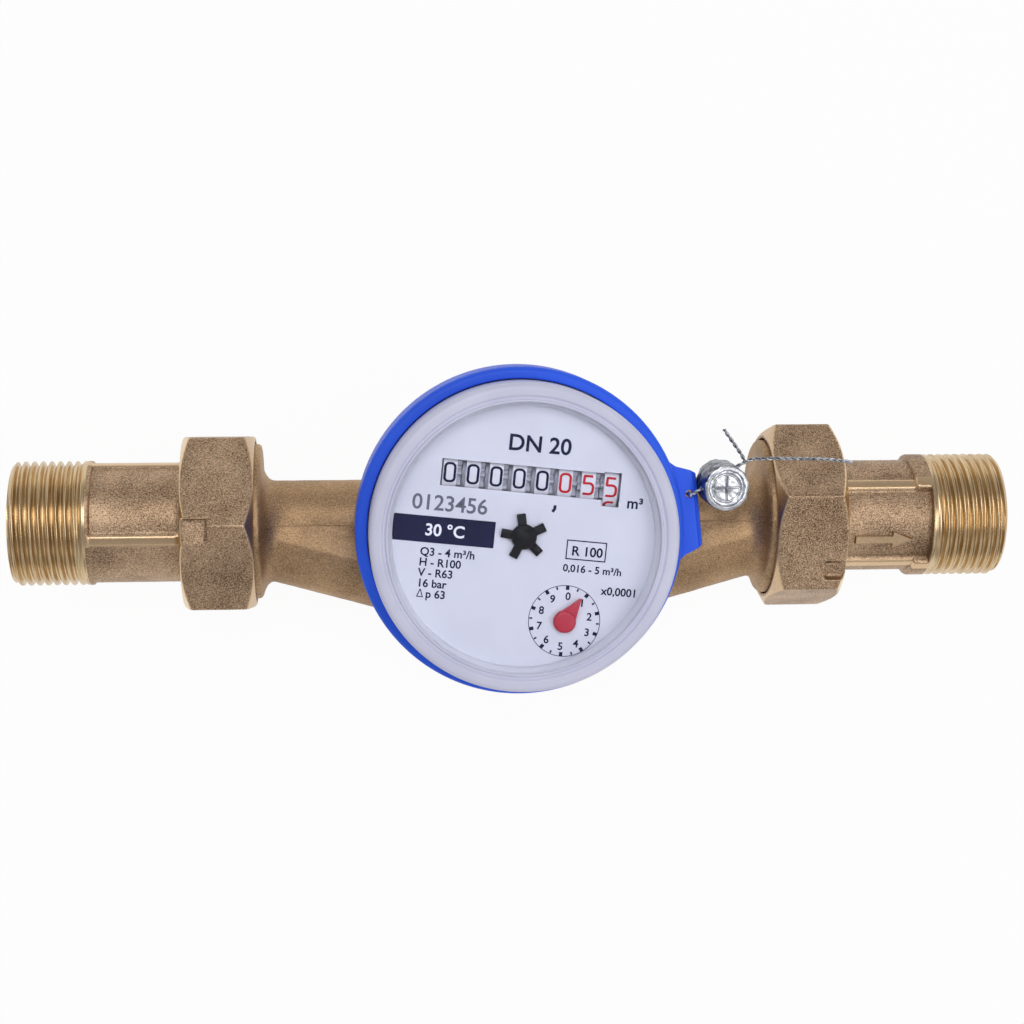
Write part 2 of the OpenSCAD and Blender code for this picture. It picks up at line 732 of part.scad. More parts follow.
module register_cover() color("lightcyan", 0.4) {
  flange_top = lip_z - clear;
  edge = 1.6;
  inner = cover_r - cover_wall;
  ceiling = cover_top_z - cover_top;
  groove_out = cover_r - 2.2;
  groove_in = dial_d / 2 + 1.2;
  rotate_extrude()
    polygon(concat([[inner, cover_z], [rim_r, cover_z], [rim_r, flange_top], [cover_r, flange_top]],
                   arc([cover_r - edge, cover_top_z - edge], edge, 0, 90),
                   [[groove_out, cover_top_z], [groove_out - 0.3, cover_top_z - 0.9],
                    [groove_in, cover_top_z - 0.9], [groove_in - 0.3, cover_top_z], [0, cover_top_z],
                    [0, ceiling], [inner, ceiling]]));
}

// Lock ring with the seal lug
module lock_ring() color(blue_plastic) {
  skirt_r = rim_r + clear + 0.1;
  hook_top = rim_z - rim_t - clear;
  hook_r = rim_r - hook;
  lip_r = cover_r + clear;
  edge = 1.6;
  difference() {
    union() {
      rotate_extrude()
        polygon(concat([[hook_r, hook_top], [hook_r + 0.4, hook_top - 1.2], [lock_r - 0.4, hook_top - 1.2],
                        [lock_r, hook_top - 0.8]],
                       arc([lock_r - edge, lock_top_z - edge], edge, 0, 80),
                       [[lip_r, lock_top_z], [lip_r, lip_z], [skirt_r, lip_z], [skirt_r, hook_top]]));
      difference() {
        lug();
        disc(skirt_r + 0.4, 0, lock_top_z);
      }
    }
    rotate([0, 0, lug_turn]) translate([lug_hole.x, lug_hole.y, 0])
      disc(wire_d / 2 + clear, axis_h, lock_top_z);
  }
}

lug_top_z = lip_z;
lug_t = 2.2;
lug_hole = [lug_reach - 1.9, 3.4];
module lug() {
  root = lug_w / 2 + 5;
  rotate([0, 0, lug_turn]) difference() {
    union() {
      translate([0, 0, lug_top_z - lug_t]) linear_extrude(lug_t)
        polygon([[lock_r - 6, root + 1], [lock_r - 1.5, root - 0.6], [lug_reach, lug_w / 2],
                 [lug_reach, -lug_w / 2], [lock_r - 1.5, -root + 0.6], [lock_r - 6, -root - 1]]);
      translate([lug_reach - 1.2, -lug_w / 2, lug_top_z - 4.4]) cube([1.2, lug_w, 3]);
    }
    translate([lug_reach - 0.8, -lug_w, lug_top_z]) rotate([0, 45, 0]) translate([0, 0, -0.01])
      cube([3, 2 * lug_w, 3]);
  }
}

// Twisted wire of the seal and the lead that is pressed on it
lug_hole_at = [lug_hole.x * cos(lug_turn) - lug_hole.y * sin(lug_turn),
               lug_hole.x * sin(lug_turn) + lug_hole.y * cos(lug_turn)];
wire_start = [lug_hole_at.x, lug_hole_at.y, lug_top_z];
lead_at = wire_start + lead_shift;
knot_at = lead_at + knot_shift;
wire_long = concat([wire_start - [0, 0, lug_t + wire_tail], wire_start + [0, 0, wire_rise],
                    wire_start + wire_bend + [0, 0, wire_rise], knot_at],
                   [for (bend = long_end) knot_at + bend]);
wire_short = concat([knot_at], [for (bend = short_end) knot_at + bend]);

function unit(v) = v / norm(v);
function run_dir(p, i) = unit(unit(p[min(i + 1, len(p) - 1)] - p[max(i, 1) - 1])
                              + unit(p[min(i, len(p) - 2) + 1] - p[max(i - 1, 0)]));

// Eight-sided tube through a row of points
module tube_run(p, d) {
  sides = 8;
  last = len(p) - 1;
  rings = [for (i = [0:last])
             let (t = run_dir(p, i), u = unit(cross(t, [0.3, -0.7, 0.5])), v = cross(t, u))
             each [for (j = [0:sides - 1]) p[i] + d / 2 * (cos(j * 360 / sides) * u + sin(j * 360 / sides) * v)]];
  walls = [for (i = [0:last - 1], j = [0:sides - 1])
             let (a = i * sides + j, b = i * sides + (j + 1) % sides)
             each [[a, b + sides, b], [a, a + sides, b + sides]]];
  ends = [[for (j = [0:sides - 1]) j], [for (j = [sides - 1:-1:0]) last * sides + j]];
  polyhedron(rings, concat(walls, ends));
}

module seal_wire() color(steel) {
  tube_run(wire_long, wire_d);
  tube_run(wire_short, wire_d);
  translate(knot_at) sphere(d = knot_d, $fn = 10);
}

module lead_seal() color("slategray") difference() {
  translate(lead_at) rotate([lead_tilt, lead_tilt, 0]) rotate_extrude()
    polygon([[0, -lead_len / 2], [lead_d / 2 - 0.6, -lead_len / 2], [lead_d / 2, -lead_len / 2 + 0.6],
             [lead_d / 2, lead_len / 2 - 0.4], [lead_d / 2 - 0.4, lead_len / 2],
             [lead_d / 2 - 1, lead_len / 2], [lead_d / 2 - 1.2, lead_len / 2 - 0.5],
             [0, lead_len / 2 - 0.5]]);
  tube_run(wire_long, wire_d + 4 * run_fit);
}

// Union ends
module gasket() color("black") at_axis() difference() {
  along_x(gasket_x, flange_x, tail_flange_r);
  along_x(gasket_x - 1, flange_x + 1, tail_bore / 2 + 0.8);
}

module inlet_gasket() mirror([1, 0, 0]) gasket();

module outlet_gasket() gasket();

module rib_sectors(turn, x0, x1, rib_w) {
  for (k = [0:3])
    rotate([k * 90 - turn, 0, 0]) translate([x0, -rib_w / 2, 0]) cube([x1 - x0, rib_w, thread_r + 1]);
}

module tail_core(neck_r, collar_x) {
  along_x(flange_x, flange_x + tail_flange, tail_flange_r);
  along_x(flange_x, thread_x, neck_r);
  along_x(collar_x, thread_x + 0.1, thread_r);
  translate([thread_x, 0, 0]) rotate([0, 90, 0]) rotate_extrude()
    polygon([[0, 0], [thread_r, 0], [thread_r, thread_len - 1], [thread_r - 1, thread_len], [0, thread_len]]);
}

module tail(neck_r, rib_r, rib_turn, collar_x) {
  rib_w = 2.2;
  difference() {
    union() {
      tail_core(neck_r, collar_x);
      intersection() {
        along_x(nut_out_x + 0.6, thread_x, rib_r);
        rib_sectors(rib_turn, nut_out_x, thread_x, rib_w);
      }
    }
    along_x(flange_x - 1, tail_end_x + 1, tail_bore / 2);
  }
}

module inlet_tail() color(brass_cast) at_axis() mirror([1, 0, 0])
  tail(thread_r - panel_depth, thread_r - rib_drop, inlet_rib_turn, thread_x - inlet_collar_len);

module outlet_tail() color(brass_cast) at_axis()
  tail(slim_neck_d / 2, slim_neck_d / 2 + panel_depth, outlet_rib_turn, thread_x - collar_len);

module nut_blank() {
  chamfer = 1.8;
  intersection() {
    translate([nut_in_x, 0, 0]) rotate([0, 90, 0]) cylinder(r = nut_corner_r, h = nut_len, $fn = 6);
    translate([nut_in_x, 0, 0]) rotate([0, 90, 0]) rotate_extrude()
      polygon([[0, 0], [nut_af / 2 - 0.2, 0], [nut_corner_r, chamfer], [nut_corner_r, nut_len - chamfer],
               [nut_af / 2 - 0.2, nut_len], [0, nut_len]]);
  }
}

// Union nut with a pocket for a seal wire milled in from its outer end, on a corner or on a flat
module nut(pocket_turn, pocket_shift, pocket_size, pocket_top) {
  difference() {
    nut_blank();
    along_x(nut_in_x - 1, lip_x, nut_bore_r);
    along_x(lip_x - 1, nut_out_x + 1, nut_hole_r);
    rotate([-pocket_turn, 0, 0])
      translate([nut_out_x - pocket_size.x, pocket_shift - pocket_size.y / 2, pocket_top - pocket_size.z])
        cube(pocket_size + [1, 0, 2]);
  }
}

module inlet_nut() color(brass_cast) at_axis() rotate([-inlet_nut_turn, 0, 0]) mirror([1, 0, 0])
  nut(0, inlet_pocket_shift, inlet_pocket, nut_corner_r);

module outlet_nut() color(brass_cast) at_axis() rotate([-outlet_nut_turn, 0, 0])
  nut(outlet_pocket_turn, outlet_pocket_shift, outlet_pocket, nut_af / 2);

meter_body();
inlet_strainer();
pivot_pin();
impeller();
impeller_magnet();
pressure_plate();
plate_seal_ring();
magnet_shield();
retaining_ring();
register_cup();
gear_bridge();
number_shaft();
transfer_shaft();
drive_magnet();
drive_arbor();
star_wheel();
reduction_gear();
idler_gear();
pointer_gear();
litre_pointer();
counter_gear();
counter_idler();
counter_pinion();
for (k = [1:wheel_count])
  number_wheel(k);
for (k = [1:wheel_count - 1])
  transfer_pinion(k);
dial_plate();
dial_bezel();
register_cover();
lock_ring();
lead_seal();
seal_wire();
inlet_gasket();
outlet_gasket();
inlet_tail();
outlet_tail();
inlet_nut();
outlet_nut();
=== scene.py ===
"""Looks of a single-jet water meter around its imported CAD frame: castings, threads, dial, counter and seal.

Sizes in this script are millimetres in the frame of the meter, and become metres when a mesh is made.
"""
import json
import math

import bmesh
import bpy
import numpy as np
from mathutils import Matrix, Vector, noise


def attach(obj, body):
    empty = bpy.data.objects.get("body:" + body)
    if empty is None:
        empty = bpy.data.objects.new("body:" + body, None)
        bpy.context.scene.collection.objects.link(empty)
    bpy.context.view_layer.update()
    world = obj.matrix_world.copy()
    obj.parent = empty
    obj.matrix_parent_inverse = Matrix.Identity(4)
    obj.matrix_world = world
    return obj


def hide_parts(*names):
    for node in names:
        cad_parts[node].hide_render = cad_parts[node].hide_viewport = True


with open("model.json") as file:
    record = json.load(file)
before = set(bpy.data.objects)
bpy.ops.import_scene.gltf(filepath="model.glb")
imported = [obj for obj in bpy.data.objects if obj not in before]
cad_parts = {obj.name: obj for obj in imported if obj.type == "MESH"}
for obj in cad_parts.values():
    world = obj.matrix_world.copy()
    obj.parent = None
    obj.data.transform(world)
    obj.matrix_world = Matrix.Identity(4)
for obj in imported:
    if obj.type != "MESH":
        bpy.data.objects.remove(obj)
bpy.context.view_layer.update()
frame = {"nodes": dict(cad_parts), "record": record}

MM = 0.001
AXIS_Z = 22.5
DIAL_TURN = math.radians(-5.9)
DIAL_Z = 53.0
DIAL_R = 26.7
PRINT_T = 0.03

# Camera, fitted to the photo
CAMERA_AT = (-36.36, 54.23, 477.9)
CAMERA_TURN = (("Z", -0.001), ("Y", -0.080), ("X", -0.115))
CAMERA_LENS = 74.64
CAMERA_SENSOR = 36.0

# Floor, sky and soft boxes: a box has its place, the point it faces and its size in metres, then its watts
FLOOR = 20000
FLOOR_GLOW = 0.95
HORIZON = (0.46, 0.46, 0.47, 1)
ZENITH = (0.32, 0.32, 0.33, 1)
SOFT_BOXES = {
    "key_box": ((-0.08, 0.28, 0.7), (0, 0, 0.05), (0.4, 0.35), 1.55),
    "front_box": ((0.0, -0.5, 0.45), (0, 0, 0.03), (0.9, 0.25), 0.25),
    "right_box": ((0.36, -0.05, 0.6), (0.08, 0, 0.03), (0.35, 0.3), 0.95),
}

# Body and union ends
PARTING_START_X = 35.0
NUT_IN_X = 54.9
NUT_OUT_X = 70.2
NUT_FLAT_R = 18.1
NUT_CHAMFER = 1.8
NUT_CORNER_RISE = 2.9
NUT_BORE_R = NUT_FLAT_R - 1.2
TAIL_BORE_R = 9.5
TAIL_FLANGE_X = 66.4
TAIL_FLANGE_END_X = 68.2
TAIL_FLANGE_R = 15.22
THREAD_X = 90.2
TAIL_END_X = 106.0
THREAD_R = 13.22
THREAD_PITCH = 1.814
THREAD_DEPTH = 1.0
RIB_WIDTH = 2.2

# Register cover and lock ring
COVER_R = 31.3
COVER_FOOT_R = 32.5
COVER_BORE_R = 29.75
COVER_FOOT_Z = 38.1
COVER_STEP_Z = 42.3
COVER_TOP_Z = 57.9
WINDOW_R = 27.45
WINDOW_Z = 57.6
WINDOW_UNDER_Z = 56.1
BEZEL_R = 29.3
BEZEL_TOP_Z = 55.9
RING_R = 34.0
RING_BORE_R = 32.9
RING_LIP_R = 31.55
RING_FOOT_R = 31.3
RING_FOOT_Z = 33.9
RING_LEDGE_Z = 35.1
RING_LIP_Z = 42.6
RING_TOP_Z = 46.0

# Counter
DRUM_Y = 11.5
DRUM_Z = 44.1
DRUM_R = 8.0
FIRST_WHEEL_X = 16.8
WHEEL_PITCH = 4.7
WHEEL_RIM = 2.9
DIGIT_PITCH = math.radians(36)
READING = [5, 5, 0, 0, 0, 0, 0, 0]
RED_WHEELS = 3

# Dial hands
POINTER_AT = (10.0, -16.5)
POINTER_CIRCLE_R = 7.3
POINTER_DIGITS_R = 5.2
TICK_R = 6.85
HAND_TOP_Z = 54.1
HAND_EDGE = 0.12

# Lock ring's lug, wire and lead
LUG_TURN = math.radians(6)
LUG_TOP_Z = 42.6
LUG_LOW_Z = 40.4
LUG_LIP_Z = 38.2
LUG_HOLE = (36.1, 3.4)
LUG_HOLE_R = 0.85
WIRE_START = Matrix.Rotation(LUG_TURN, 3, "Z") @ Vector((*LUG_HOLE, LUG_TOP_Z))
LEAD_AT = WIRE_START + Vector((6.95, 1.82, -0.4))
KNOT_AT = LEAD_AT + Vector((4.3, 4.9, 2.3))
STRAND_R = 0.21
TWIST_PITCH = 3.0


# Node and colour helpers
def linear(hex_colour):
    """Linear RGBA of an sRGB hex colour."""
    values = [int(hex_colour[i:i + 2], 16) / 255 for i in (1, 3, 5)]
    return [v / 12.92 if v <= 0.04045 else ((v + 0.055) / 1.055) ** 2.4 for v in values] + [1.0]


def per_mm(size):
    """Texture scale on Object coordinates, in metres, for a pattern of that size in millimetres."""
    return 1.0 / (size * MM)


def add(tree, kind, inputs=None, out=0, **settings):
    """Adds a node with its settings, values and links, and gives one of its outputs."""
    node = tree.nodes.new(kind)
    for key, value in settings.items():
        setattr(node, key, value)
    for key, value in (inputs or {}).items():
        if isinstance(value, bpy.types.NodeSocket):
            tree.links.new(value, node.inputs[key])
        else:
            node.inputs[key].default_value = value
    return node.outputs[out] if node.outputs else node


def surface(name, colour, **values):
    """A new material with its tree, its shader and its Object coordinates."""
    material = bpy.data.materials.new(name)
    material.use_nodes = True
    tree = material.node_tree
    tree.nodes.clear()
    shader = add(tree, "ShaderNodeBsdfPrincipled").node
    shader.inputs["Base Color"].default_value = linear(colour)
    for key, value in values.items():
        shader.inputs[key.replace("_", " ")].default_value = value
    add(tree, "ShaderNodeOutputMaterial", {"Surface": shader.outputs[0]})
    coords = add(tree, "ShaderNodeTexCoord", out="Object")
    return material, tree, shader, coords


# Materials
def blasted_brass(name, light, dark, grain, depth, roughness):
    """Cast brass, shot-blasted: a sparkling grain of small dents over slow patches of tone.
    The grain is drawn a little coarser than the real one, so that it shows.
    Where the piece is machined or rubbed, its polish attribute makes it smooth and brighter."""
    material, tree, shader, coords = surface(name, light, Metallic=1.0)
    polish = add(tree, "ShaderNodeAttribute", out="Fac", attribute_name="polish")
    patches = add(tree, "ShaderNodeTexNoise", {"Vector": coords, "Scale": per_mm(9), "Detail": 3.0})
    grit = add(tree, "ShaderNodeTexNoise", {"Vector": coords, "Scale": per_mm(grain), "Detail": 3.0})
    speckle = add(tree, "ShaderNodeMapRange", {"Value": grit, "From Min": 0.3, "From Max": 0.7})
    mixed = add(tree, "ShaderNodeMath", {0: speckle, 1: patches}, operation="ADD")
    share = add(tree, "ShaderNodeMapRange", {"Value": mixed, "From Min": 0.5, "From Max": 1.5})
    ramp = add(tree, "ShaderNodeValToRGB", {"Fac": share}).node
    ramp.color_ramp.elements[0].color = linear(dark)
    ramp.color_ramp.elements[1].color = linear(light)
    rubbed = linear("#E3C49C")
    bright = add(tree, "ShaderNodeMixRGB", {"Fac": polish, "Color1": ramp.outputs[0], "Color2": rubbed})
    tree.links.new(bright, shader.inputs["Base Color"])
    dull = add(tree, "ShaderNodeMapRange", {"Value": grit, "To Min": roughness - 0.1,
                                            "To Max": roughness + 0.12})
    rough = add(tree, "ShaderNodeMixRGB", {"Fac": polish, "Color1": dull, "Color2": (0.24, 0.24, 0.24, 1)})
    tree.links.new(rough, shader.inputs["Roughness"])
    matt = add(tree, "ShaderNodeMath", {0: 1.0, 1: polish}, operation="SUBTRACT")
    bump = add(tree, "ShaderNodeBump", {"Strength": matt, "Distance": depth * MM, "Height": grit})
    tree.links.new(bump, shader.inputs["Normal"])
    return material


def turned_brass():
    """Brass cut on a lathe: bright gold with tool lines around the pipe axis.
    The lines are drawn coarser than real ones, so that they show."""
    material, tree, shader, coords = surface("brass_turned", "#D6B890", Metallic=1.0, Roughness=0.26)
    stretched = add(tree, "ShaderNodeMapping", {"Vector": coords, "Scale": (1.0, 0.04, 0.04)})
    lines = add(tree, "ShaderNodeTexNoise", {"Vector": stretched, "Scale": per_mm(0.25), "Detail": 2.0})
    tone = add(tree, "ShaderNodeValToRGB", {"Fac": lines}).node
    tone.color_ramp.elements[0].position = 0.3
    tone.color_ramp.elements[0].color = linear("#B8986C")
    tone.color_ramp.elements[1].position = 0.7
    tone.color_ramp.elements[1].color = linear("#E2CBA6")
    tree.links.new(tone.outputs[0], shader.inputs["Base Color"])
    rough = add(tree, "ShaderNodeMapRange", {"Value": lines, "To Min": 0.2, "To Max": 0.36})
    tree.links.new(rough, shader.inputs["Roughness"])
    bump = add(tree, "ShaderNodeBump", {"Strength": 0.3, "Distance": 0.02 * MM, "Height": lines})
    tree.links.new(bump, shader.inputs["Normal"])
    return material


def moulded(name, colour, shade, roughness, gloss=0.5):
    """Moulded plastic: an even colour with a faint cloud in it and a fine orange-peel skin."""
    material, tree, shader, coords = surface(name, colour, Roughness=roughness, IOR=1.53,
                                             Specular_IOR_Level=gloss)
    cloud = add(tree, "ShaderNodeTexNoise", {"Vector": coords, "Scale": per_mm(14), "Detail": 2.0})
    tone = add(tree, "ShaderNodeValToRGB", {"Fac": cloud}).node
    tone.color_ramp.elements[0].position = 0.35
    tone.color_ramp.elements[0].color = linear(shade)
    tone.color_ramp.elements[1].position = 0.65
    tone.color_ramp.elements[1].color = linear(colour)
    tree.links.new(tone.outputs[0], shader.inputs["Base Color"])
    skin = add(tree, "ShaderNodeTexNoise", {"Vector": coords, "Scale": per_mm(0.5), "Detail": 1.0})
    bump = add(tree, "ShaderNodeBump", {"Strength": 0.15, "Distance": 0.01 * MM, "Height": skin})
    tree.links.new(bump, shader.inputs["Normal"])
    return material


def wheel_plastic():
    """Number wheels: white acetal rims in bands along the counter's shaft, with the gear rings between them
    painted grey as painted shade.
    """
    material, tree, shader, coords = surface("acetal_rims_gear_shade_painted", "#E4E4E8", Roughness=0.5)
    turned_back = add(tree, "ShaderNodeMapping", {"Vector": coords, "Rotation": (0, 0, -DIAL_TURN)})
    across = add(tree, "ShaderNodeSeparateXYZ", {0: turned_back}, out="X")
    from_first = add(tree, "ShaderNodeMath", {0: across, 1: FIRST_WHEEL_X * MM}, operation="SUBTRACT")
    wheels = add(tree, "ShaderNodeMath", {0: from_first, 1: WHEEL_PITCH * MM}, operation="DIVIDE")
    nearest = add(tree, "ShaderNodeMath", {0: wheels}, operation="ROUND")
    off = add(tree, "ShaderNodeMath", {0: wheels, 1: nearest}, operation="SUBTRACT")
    distance = add(tree, "ShaderNodeMath", {0: off}, operation="ABSOLUTE")
    half_rim = WHEEL_RIM / 2 / WHEEL_PITCH
    ring = add(tree, "ShaderNodeMath", {0: distance, 1: half_rim}, operation="GREATER_THAN")
    # the grey of the gear rings is painted shade that falls between the wheels
    rim, gear = linear("#E0E0E4"), linear("#B4B5BD")
    tone = add(tree, "ShaderNodeMixRGB", {"Fac": ring, "Color1": rim, "Color2": gear})
    tree.links.new(tone, shader.inputs["Base Color"])
    return material


def clear_plastic():
    """Clear moulded acrylic: it bends the view at its rim, and lets light through to the dial.
    Its IOR is lower than the 1.49 of acrylic, so that the flat window mirrors the lamps less."""
    material, tree, shader, coords = surface("acrylic_clear_moulded", "#F4F5FC", Roughness=0.03, IOR=1.3,
                                             Transmission_Weight=1.0)
    flow = add(tree, "ShaderNodeTexNoise", {"Vector": coords, "Scale": per_mm(20), "Detail": 1.0})
    bump = add(tree, "ShaderNodeBump", {"Strength": 0.05, "Distance": 0.02 * MM, "Height": flow})
    tree.links.new(bump, shader.inputs["Normal"])
    shadow = add(tree, "ShaderNodeLightPath", out="Is Shadow Ray")
    through = add(tree, "ShaderNodeBsdfTransparent", {"Color": linear("#F6F7FC")})
    both = add(tree, "ShaderNodeMixShader", {0: shadow, 1: shader.outputs[0], 2: through})
    output = next(n for n in tree.nodes if n.type == "OUTPUT_MATERIAL")
    tree.links.new(both, output.inputs["Surface"])
    return material


def worn_metal(name, light, dark, patch, grain, roughness, depth):
    """Plain metal with dull and bright patches: pressed lead, drawn steel wire or a sintered magnet."""
    material, tree, shader, coords = surface(name, light, Metallic=1.0)
    patches = add(tree, "ShaderNodeTexNoise", {"Vector": coords, "Scale": per_mm(patch), "Detail": 4.0})
    tone = add(tree, "ShaderNodeValToRGB", {"Fac": patches}).node
    tone.color_ramp.elements[0].position = 0.36
    tone.color_ramp.elements[0].color = linear(dark)
    tone.color_ramp.elements[1].position = 0.62
    tone.color_ramp.elements[1].color = linear(light)
    tree.links.new(tone.outputs[0], shader.inputs["Base Color"])
    rough = add(tree, "ShaderNodeMapRange", {"Value": patches, "To Min": roughness + 0.15,
                                             "To Max": roughness - 0.1})
    tree.links.new(rough, shader.inputs["Roughness"])
    grit = add(tree, "ShaderNodeTexNoise", {"Vector": coords, "Scale": per_mm(grain), "Detail": 3.0})
    bump = add(tree, "ShaderNodeBump", {"Strength": 0.6, "Distance": depth * MM, "Height": grit})
    tree.links.new(bump, shader.inputs["Normal"])
    return material


BRASS = blasted_brass("brass_cast_blasted", "#E0C09F", "#68513C", 0.28, 0.07, 0.48)
BRASS_FINE = blasted_brass("brass_cast_fine", "#D2B089", "#866B4E", 0.28, 0.05, 0.54)
TURNED = turned_brass()
WHITE = moulded("abs_white_moulded", "#DADBE1", "#D4D5DC", 0.42)
FROSTED = moulded("acrylic_frosted_moulded", "#D6D7EC", "#CDCEE5", 0.4)
WHEEL = wheel_plastic()
CLEAR = clear_plastic()
BLUE = moulded("abs_blue_moulded", "#2E65F6", "#2B5FEE", 0.45, 0.25)
BLACK = moulded("abs_black_moulded", "#0C0C0F", "#09090B", 0.38, 0.2)
RED = moulded("abs_red_moulded", "#C0283C", "#B62438", 0.32)
RUBBER = moulded("rubber_black_moulded", "#1B1B1C", "#151516", 0.7)
NAVY_INK = moulded("ink_navy_printed", "#191A3E", "#161738", 0.55, 0.1)
GREY_INK = moulded("ink_grey_printed", "#6E6E7A", "#666672", 0.55, 0.15)
RED_INK = moulded("ink_red_printed", "#C8202E", "#BE1C2A", 0.55, 0.15)
WHITE_INK = moulded("ink_white_printed", "#F2F3F8", "#ECEDF4", 0.55)
STEEL = worn_metal("steel_wire_drawn", "#C6C8CC", "#7F8288", 1.2, 0.15, 0.28, 0.01)
LEAD = worn_metal("lead_cast_dull", "#A6A9AF", "#4C4F55", 1.6, 0.3, 0.4, 0.1)
LEAD_FACE = worn_metal("lead_pressed", "#E2E4E8", "#9A9DA3", 2.4, 0.4, 0.3, 0.04)
FERRITE = worn_metal("ferrite_sintered", "#4A4A4E", "#343438", 2.0, 0.3, 0.55, 0.03)


# Mesh helpers
def polar(radius, angle):
    return Vector((radius * math.cos(angle), radius * math.sin(angle)))


def filleted(corners, closed=True, step=math.radians(12)):
    """Points of an outline of (x, y, radius) corners, with each corner rounded by an arc."""
    points = []
    count = len(corners)
    for i, (x, y, radius) in enumerate(corners):
        here = Vector((x, y))
        if radius == 0 or (not closed and i in (0, count - 1)):
            points.append(here)
            continue
        before = Vector(corners[i - 1][:2]) - here
        after = Vector(corners[(i + 1) % count][:2]) - here
        room = 0.49 * min(before.length, after.length)
        before.normalize()
        after.normalize()
        half = before.angle(after) / 2
        if half > math.radians(89):
            points.append(here)
            continue
        radius = min(radius, room * math.tan(half))
        centre = here + (before + after).normalized() * (radius / math.sin(half))
        start = here + before * (radius / math.tan(half)) - centre
        sweep = math.pi - 2 * half
        sign = 1 if before.cross(after) < 0 else -1
        steps = max(2, round(sweep / step))
        for k in range(steps + 1):
            points.append(centre + Matrix.Rotation(sign * sweep * k / steps, 2) @ start)
    return points


def piece_of(name, verts, faces, crease=35):
    """A mesh object from millimetre points, with its doubles merged and its faces turned outwards."""
    mesh = bpy.data.meshes.new(name)
    mesh.from_pydata([tuple(Vector(v) * MM) for v in verts], [], faces)
    bm = bmesh.new()
    bm.from_mesh(mesh)
    bmesh.ops.remove_doubles(bm, verts=bm.verts, dist=1e-7)
    bmesh.ops.recalc_face_normals(bm, faces=bm.faces)
    bm.to_mesh(mesh)
    bm.free()
    smooth(mesh, crease)
    piece = bpy.data.objects.new(name, mesh)
    bpy.context.collection.objects.link(piece)
    return piece


def smooth(mesh, crease=35):
    mesh.shade_smooth()
    mesh.set_sharp_from_angle(angle=math.radians(crease))


def turned(name, profile, steps=192, along_x=False, radius_at=None, crease=35):
    """A closed profile of (radius, height) turned about Z, or about the pipe axis.
    radius_at(height, angle, radius) may change a radius."""
    verts, faces = [], []
    count = len(profile)
    for j in range(steps):
        angle = 2 * math.pi * j / steps
        for radius, height in profile:
            r = radius_at(height, angle, radius) if radius_at else radius
            if along_x:
                verts.append((height, r * math.sin(angle), AXIS_Z + r * math.cos(angle)))
            else:
                verts.append((r * math.cos(angle), r * math.sin(angle), height))
    for j in range(steps):
        a, b = j * count, (j + 1) % steps * count
        for i in range(count):
            k = (i + 1) % count
            faces.append((a + i, a + k, b + k, b + i))
    return piece_of(name, verts, faces, crease)


def swept_bar(points, width, low, high, closed):
    """Verts and faces of a flat bar of that width along a path of (x, y) points, from low to high."""
    points = [Vector(p) for p in points]
    count = len(points)
    verts, faces = [], []
    for i, p in enumerate(points):
        before = points[i - 1] if closed or i > 0 else p
        after = points[(i + 1) % count] if closed or i < count - 1 else p
        lead_in = (p - before).normalized() if (p - before).length else (after - p).normalized()
        lead_out = (after - p).normalized() if (after - p).length else lead_in
        along = (lead_in + lead_out).normalized()
        side = Vector((-along.y, along.x)) * (width / 2 / max(0.5, along.dot(lead_in)))
        for corner in (p - side, p + side):
            verts += [(corner.x, corner.y, low), (corner.x, corner.y, high)]
    for i in range(count if closed else count - 1):
        a, b = 4 * i, 4 * ((i + 1) % count)
        for p, q in ((0, 1), (1, 3), (3, 2), (2, 0)):
            faces.append((a + p, a + q, b + q, b + p))
    if not closed:
        end = 4 * (count - 1)
        faces += [(0, 1, 3, 2), (end, end + 1, end + 3, end + 2)]
    return verts, faces


def divided(points, closed, longest=0.35):
    """The same path with no stretch longer than that."""
    points = [Vector(p) for p in points]
    result = []
    for i in range(len(points) if closed else len(points) - 1):
        a, b = points[i], points[(i + 1) % len(points)]
        steps = max(1, math.ceil((b - a).length / longest))
        result += [a.lerp(b, k / steps) for k in range(steps)]
    return result if closed else result + [points[-1]]


def bar_faces(count):
    """Faces of a closed bar that runs through that many rings of four points."""
    faces = []
    for r in range(0, 4 * count - 4, 4):
        faces += [(r + i, r + (i + 1) % 4, r + 4 + (i + 1) % 4, r + 4 + i) for i in range(4)]
    return faces + [(0, 1, 2, 3), tuple(range(4 * count - 4, 4 * count))]


def joined(parts):
    """Verts and faces of several meshes as one."""
    verts, faces = [], []
    for part_verts, part_faces in parts:
        start = len(verts)
        verts += part_verts
        faces += [tuple(start + i for i in face) for face in part_faces]
    return verts, faces


def on_dial(point):
    """A point of the dial's own frame in the meter's frame."""
    x, y, z = point
    c, s = math.cos(DIAL_TURN), math.sin(DIAL_TURN)
    return (x * c - y * s, x * s + y * c, z)


def plain_mesh(holder):
    """A new mesh of what an object's modifiers or its text make."""
    bpy.context.view_layer.update()
    evaluated = holder.evaluated_get(bpy.context.evaluated_depsgraph_get())
    return bpy.data.meshes.new_from_object(evaluated)


def baked(piece):
    """Replaces a piece's mesh by what its modifiers make of it."""
    mesh = plain_mesh(piece)
    piece.modifiers.clear()
    piece.data = mesh
    return piece


def copy_of(node, name):
    """A copy of a CAD node with its loose triangles merged."""
    mesh = frame["nodes"][node].data.copy()
    mesh.materials.clear()
    bm = bmesh.new()
    bm.from_mesh(mesh)
    bmesh.ops.remove_doubles(bm, verts=bm.verts, dist=2e-6)
    bm.to_mesh(mesh)
    bm.free()
    piece = bpy.data.objects.new(name, mesh)
    bpy.context.collection.objects.link(piece)
    return piece


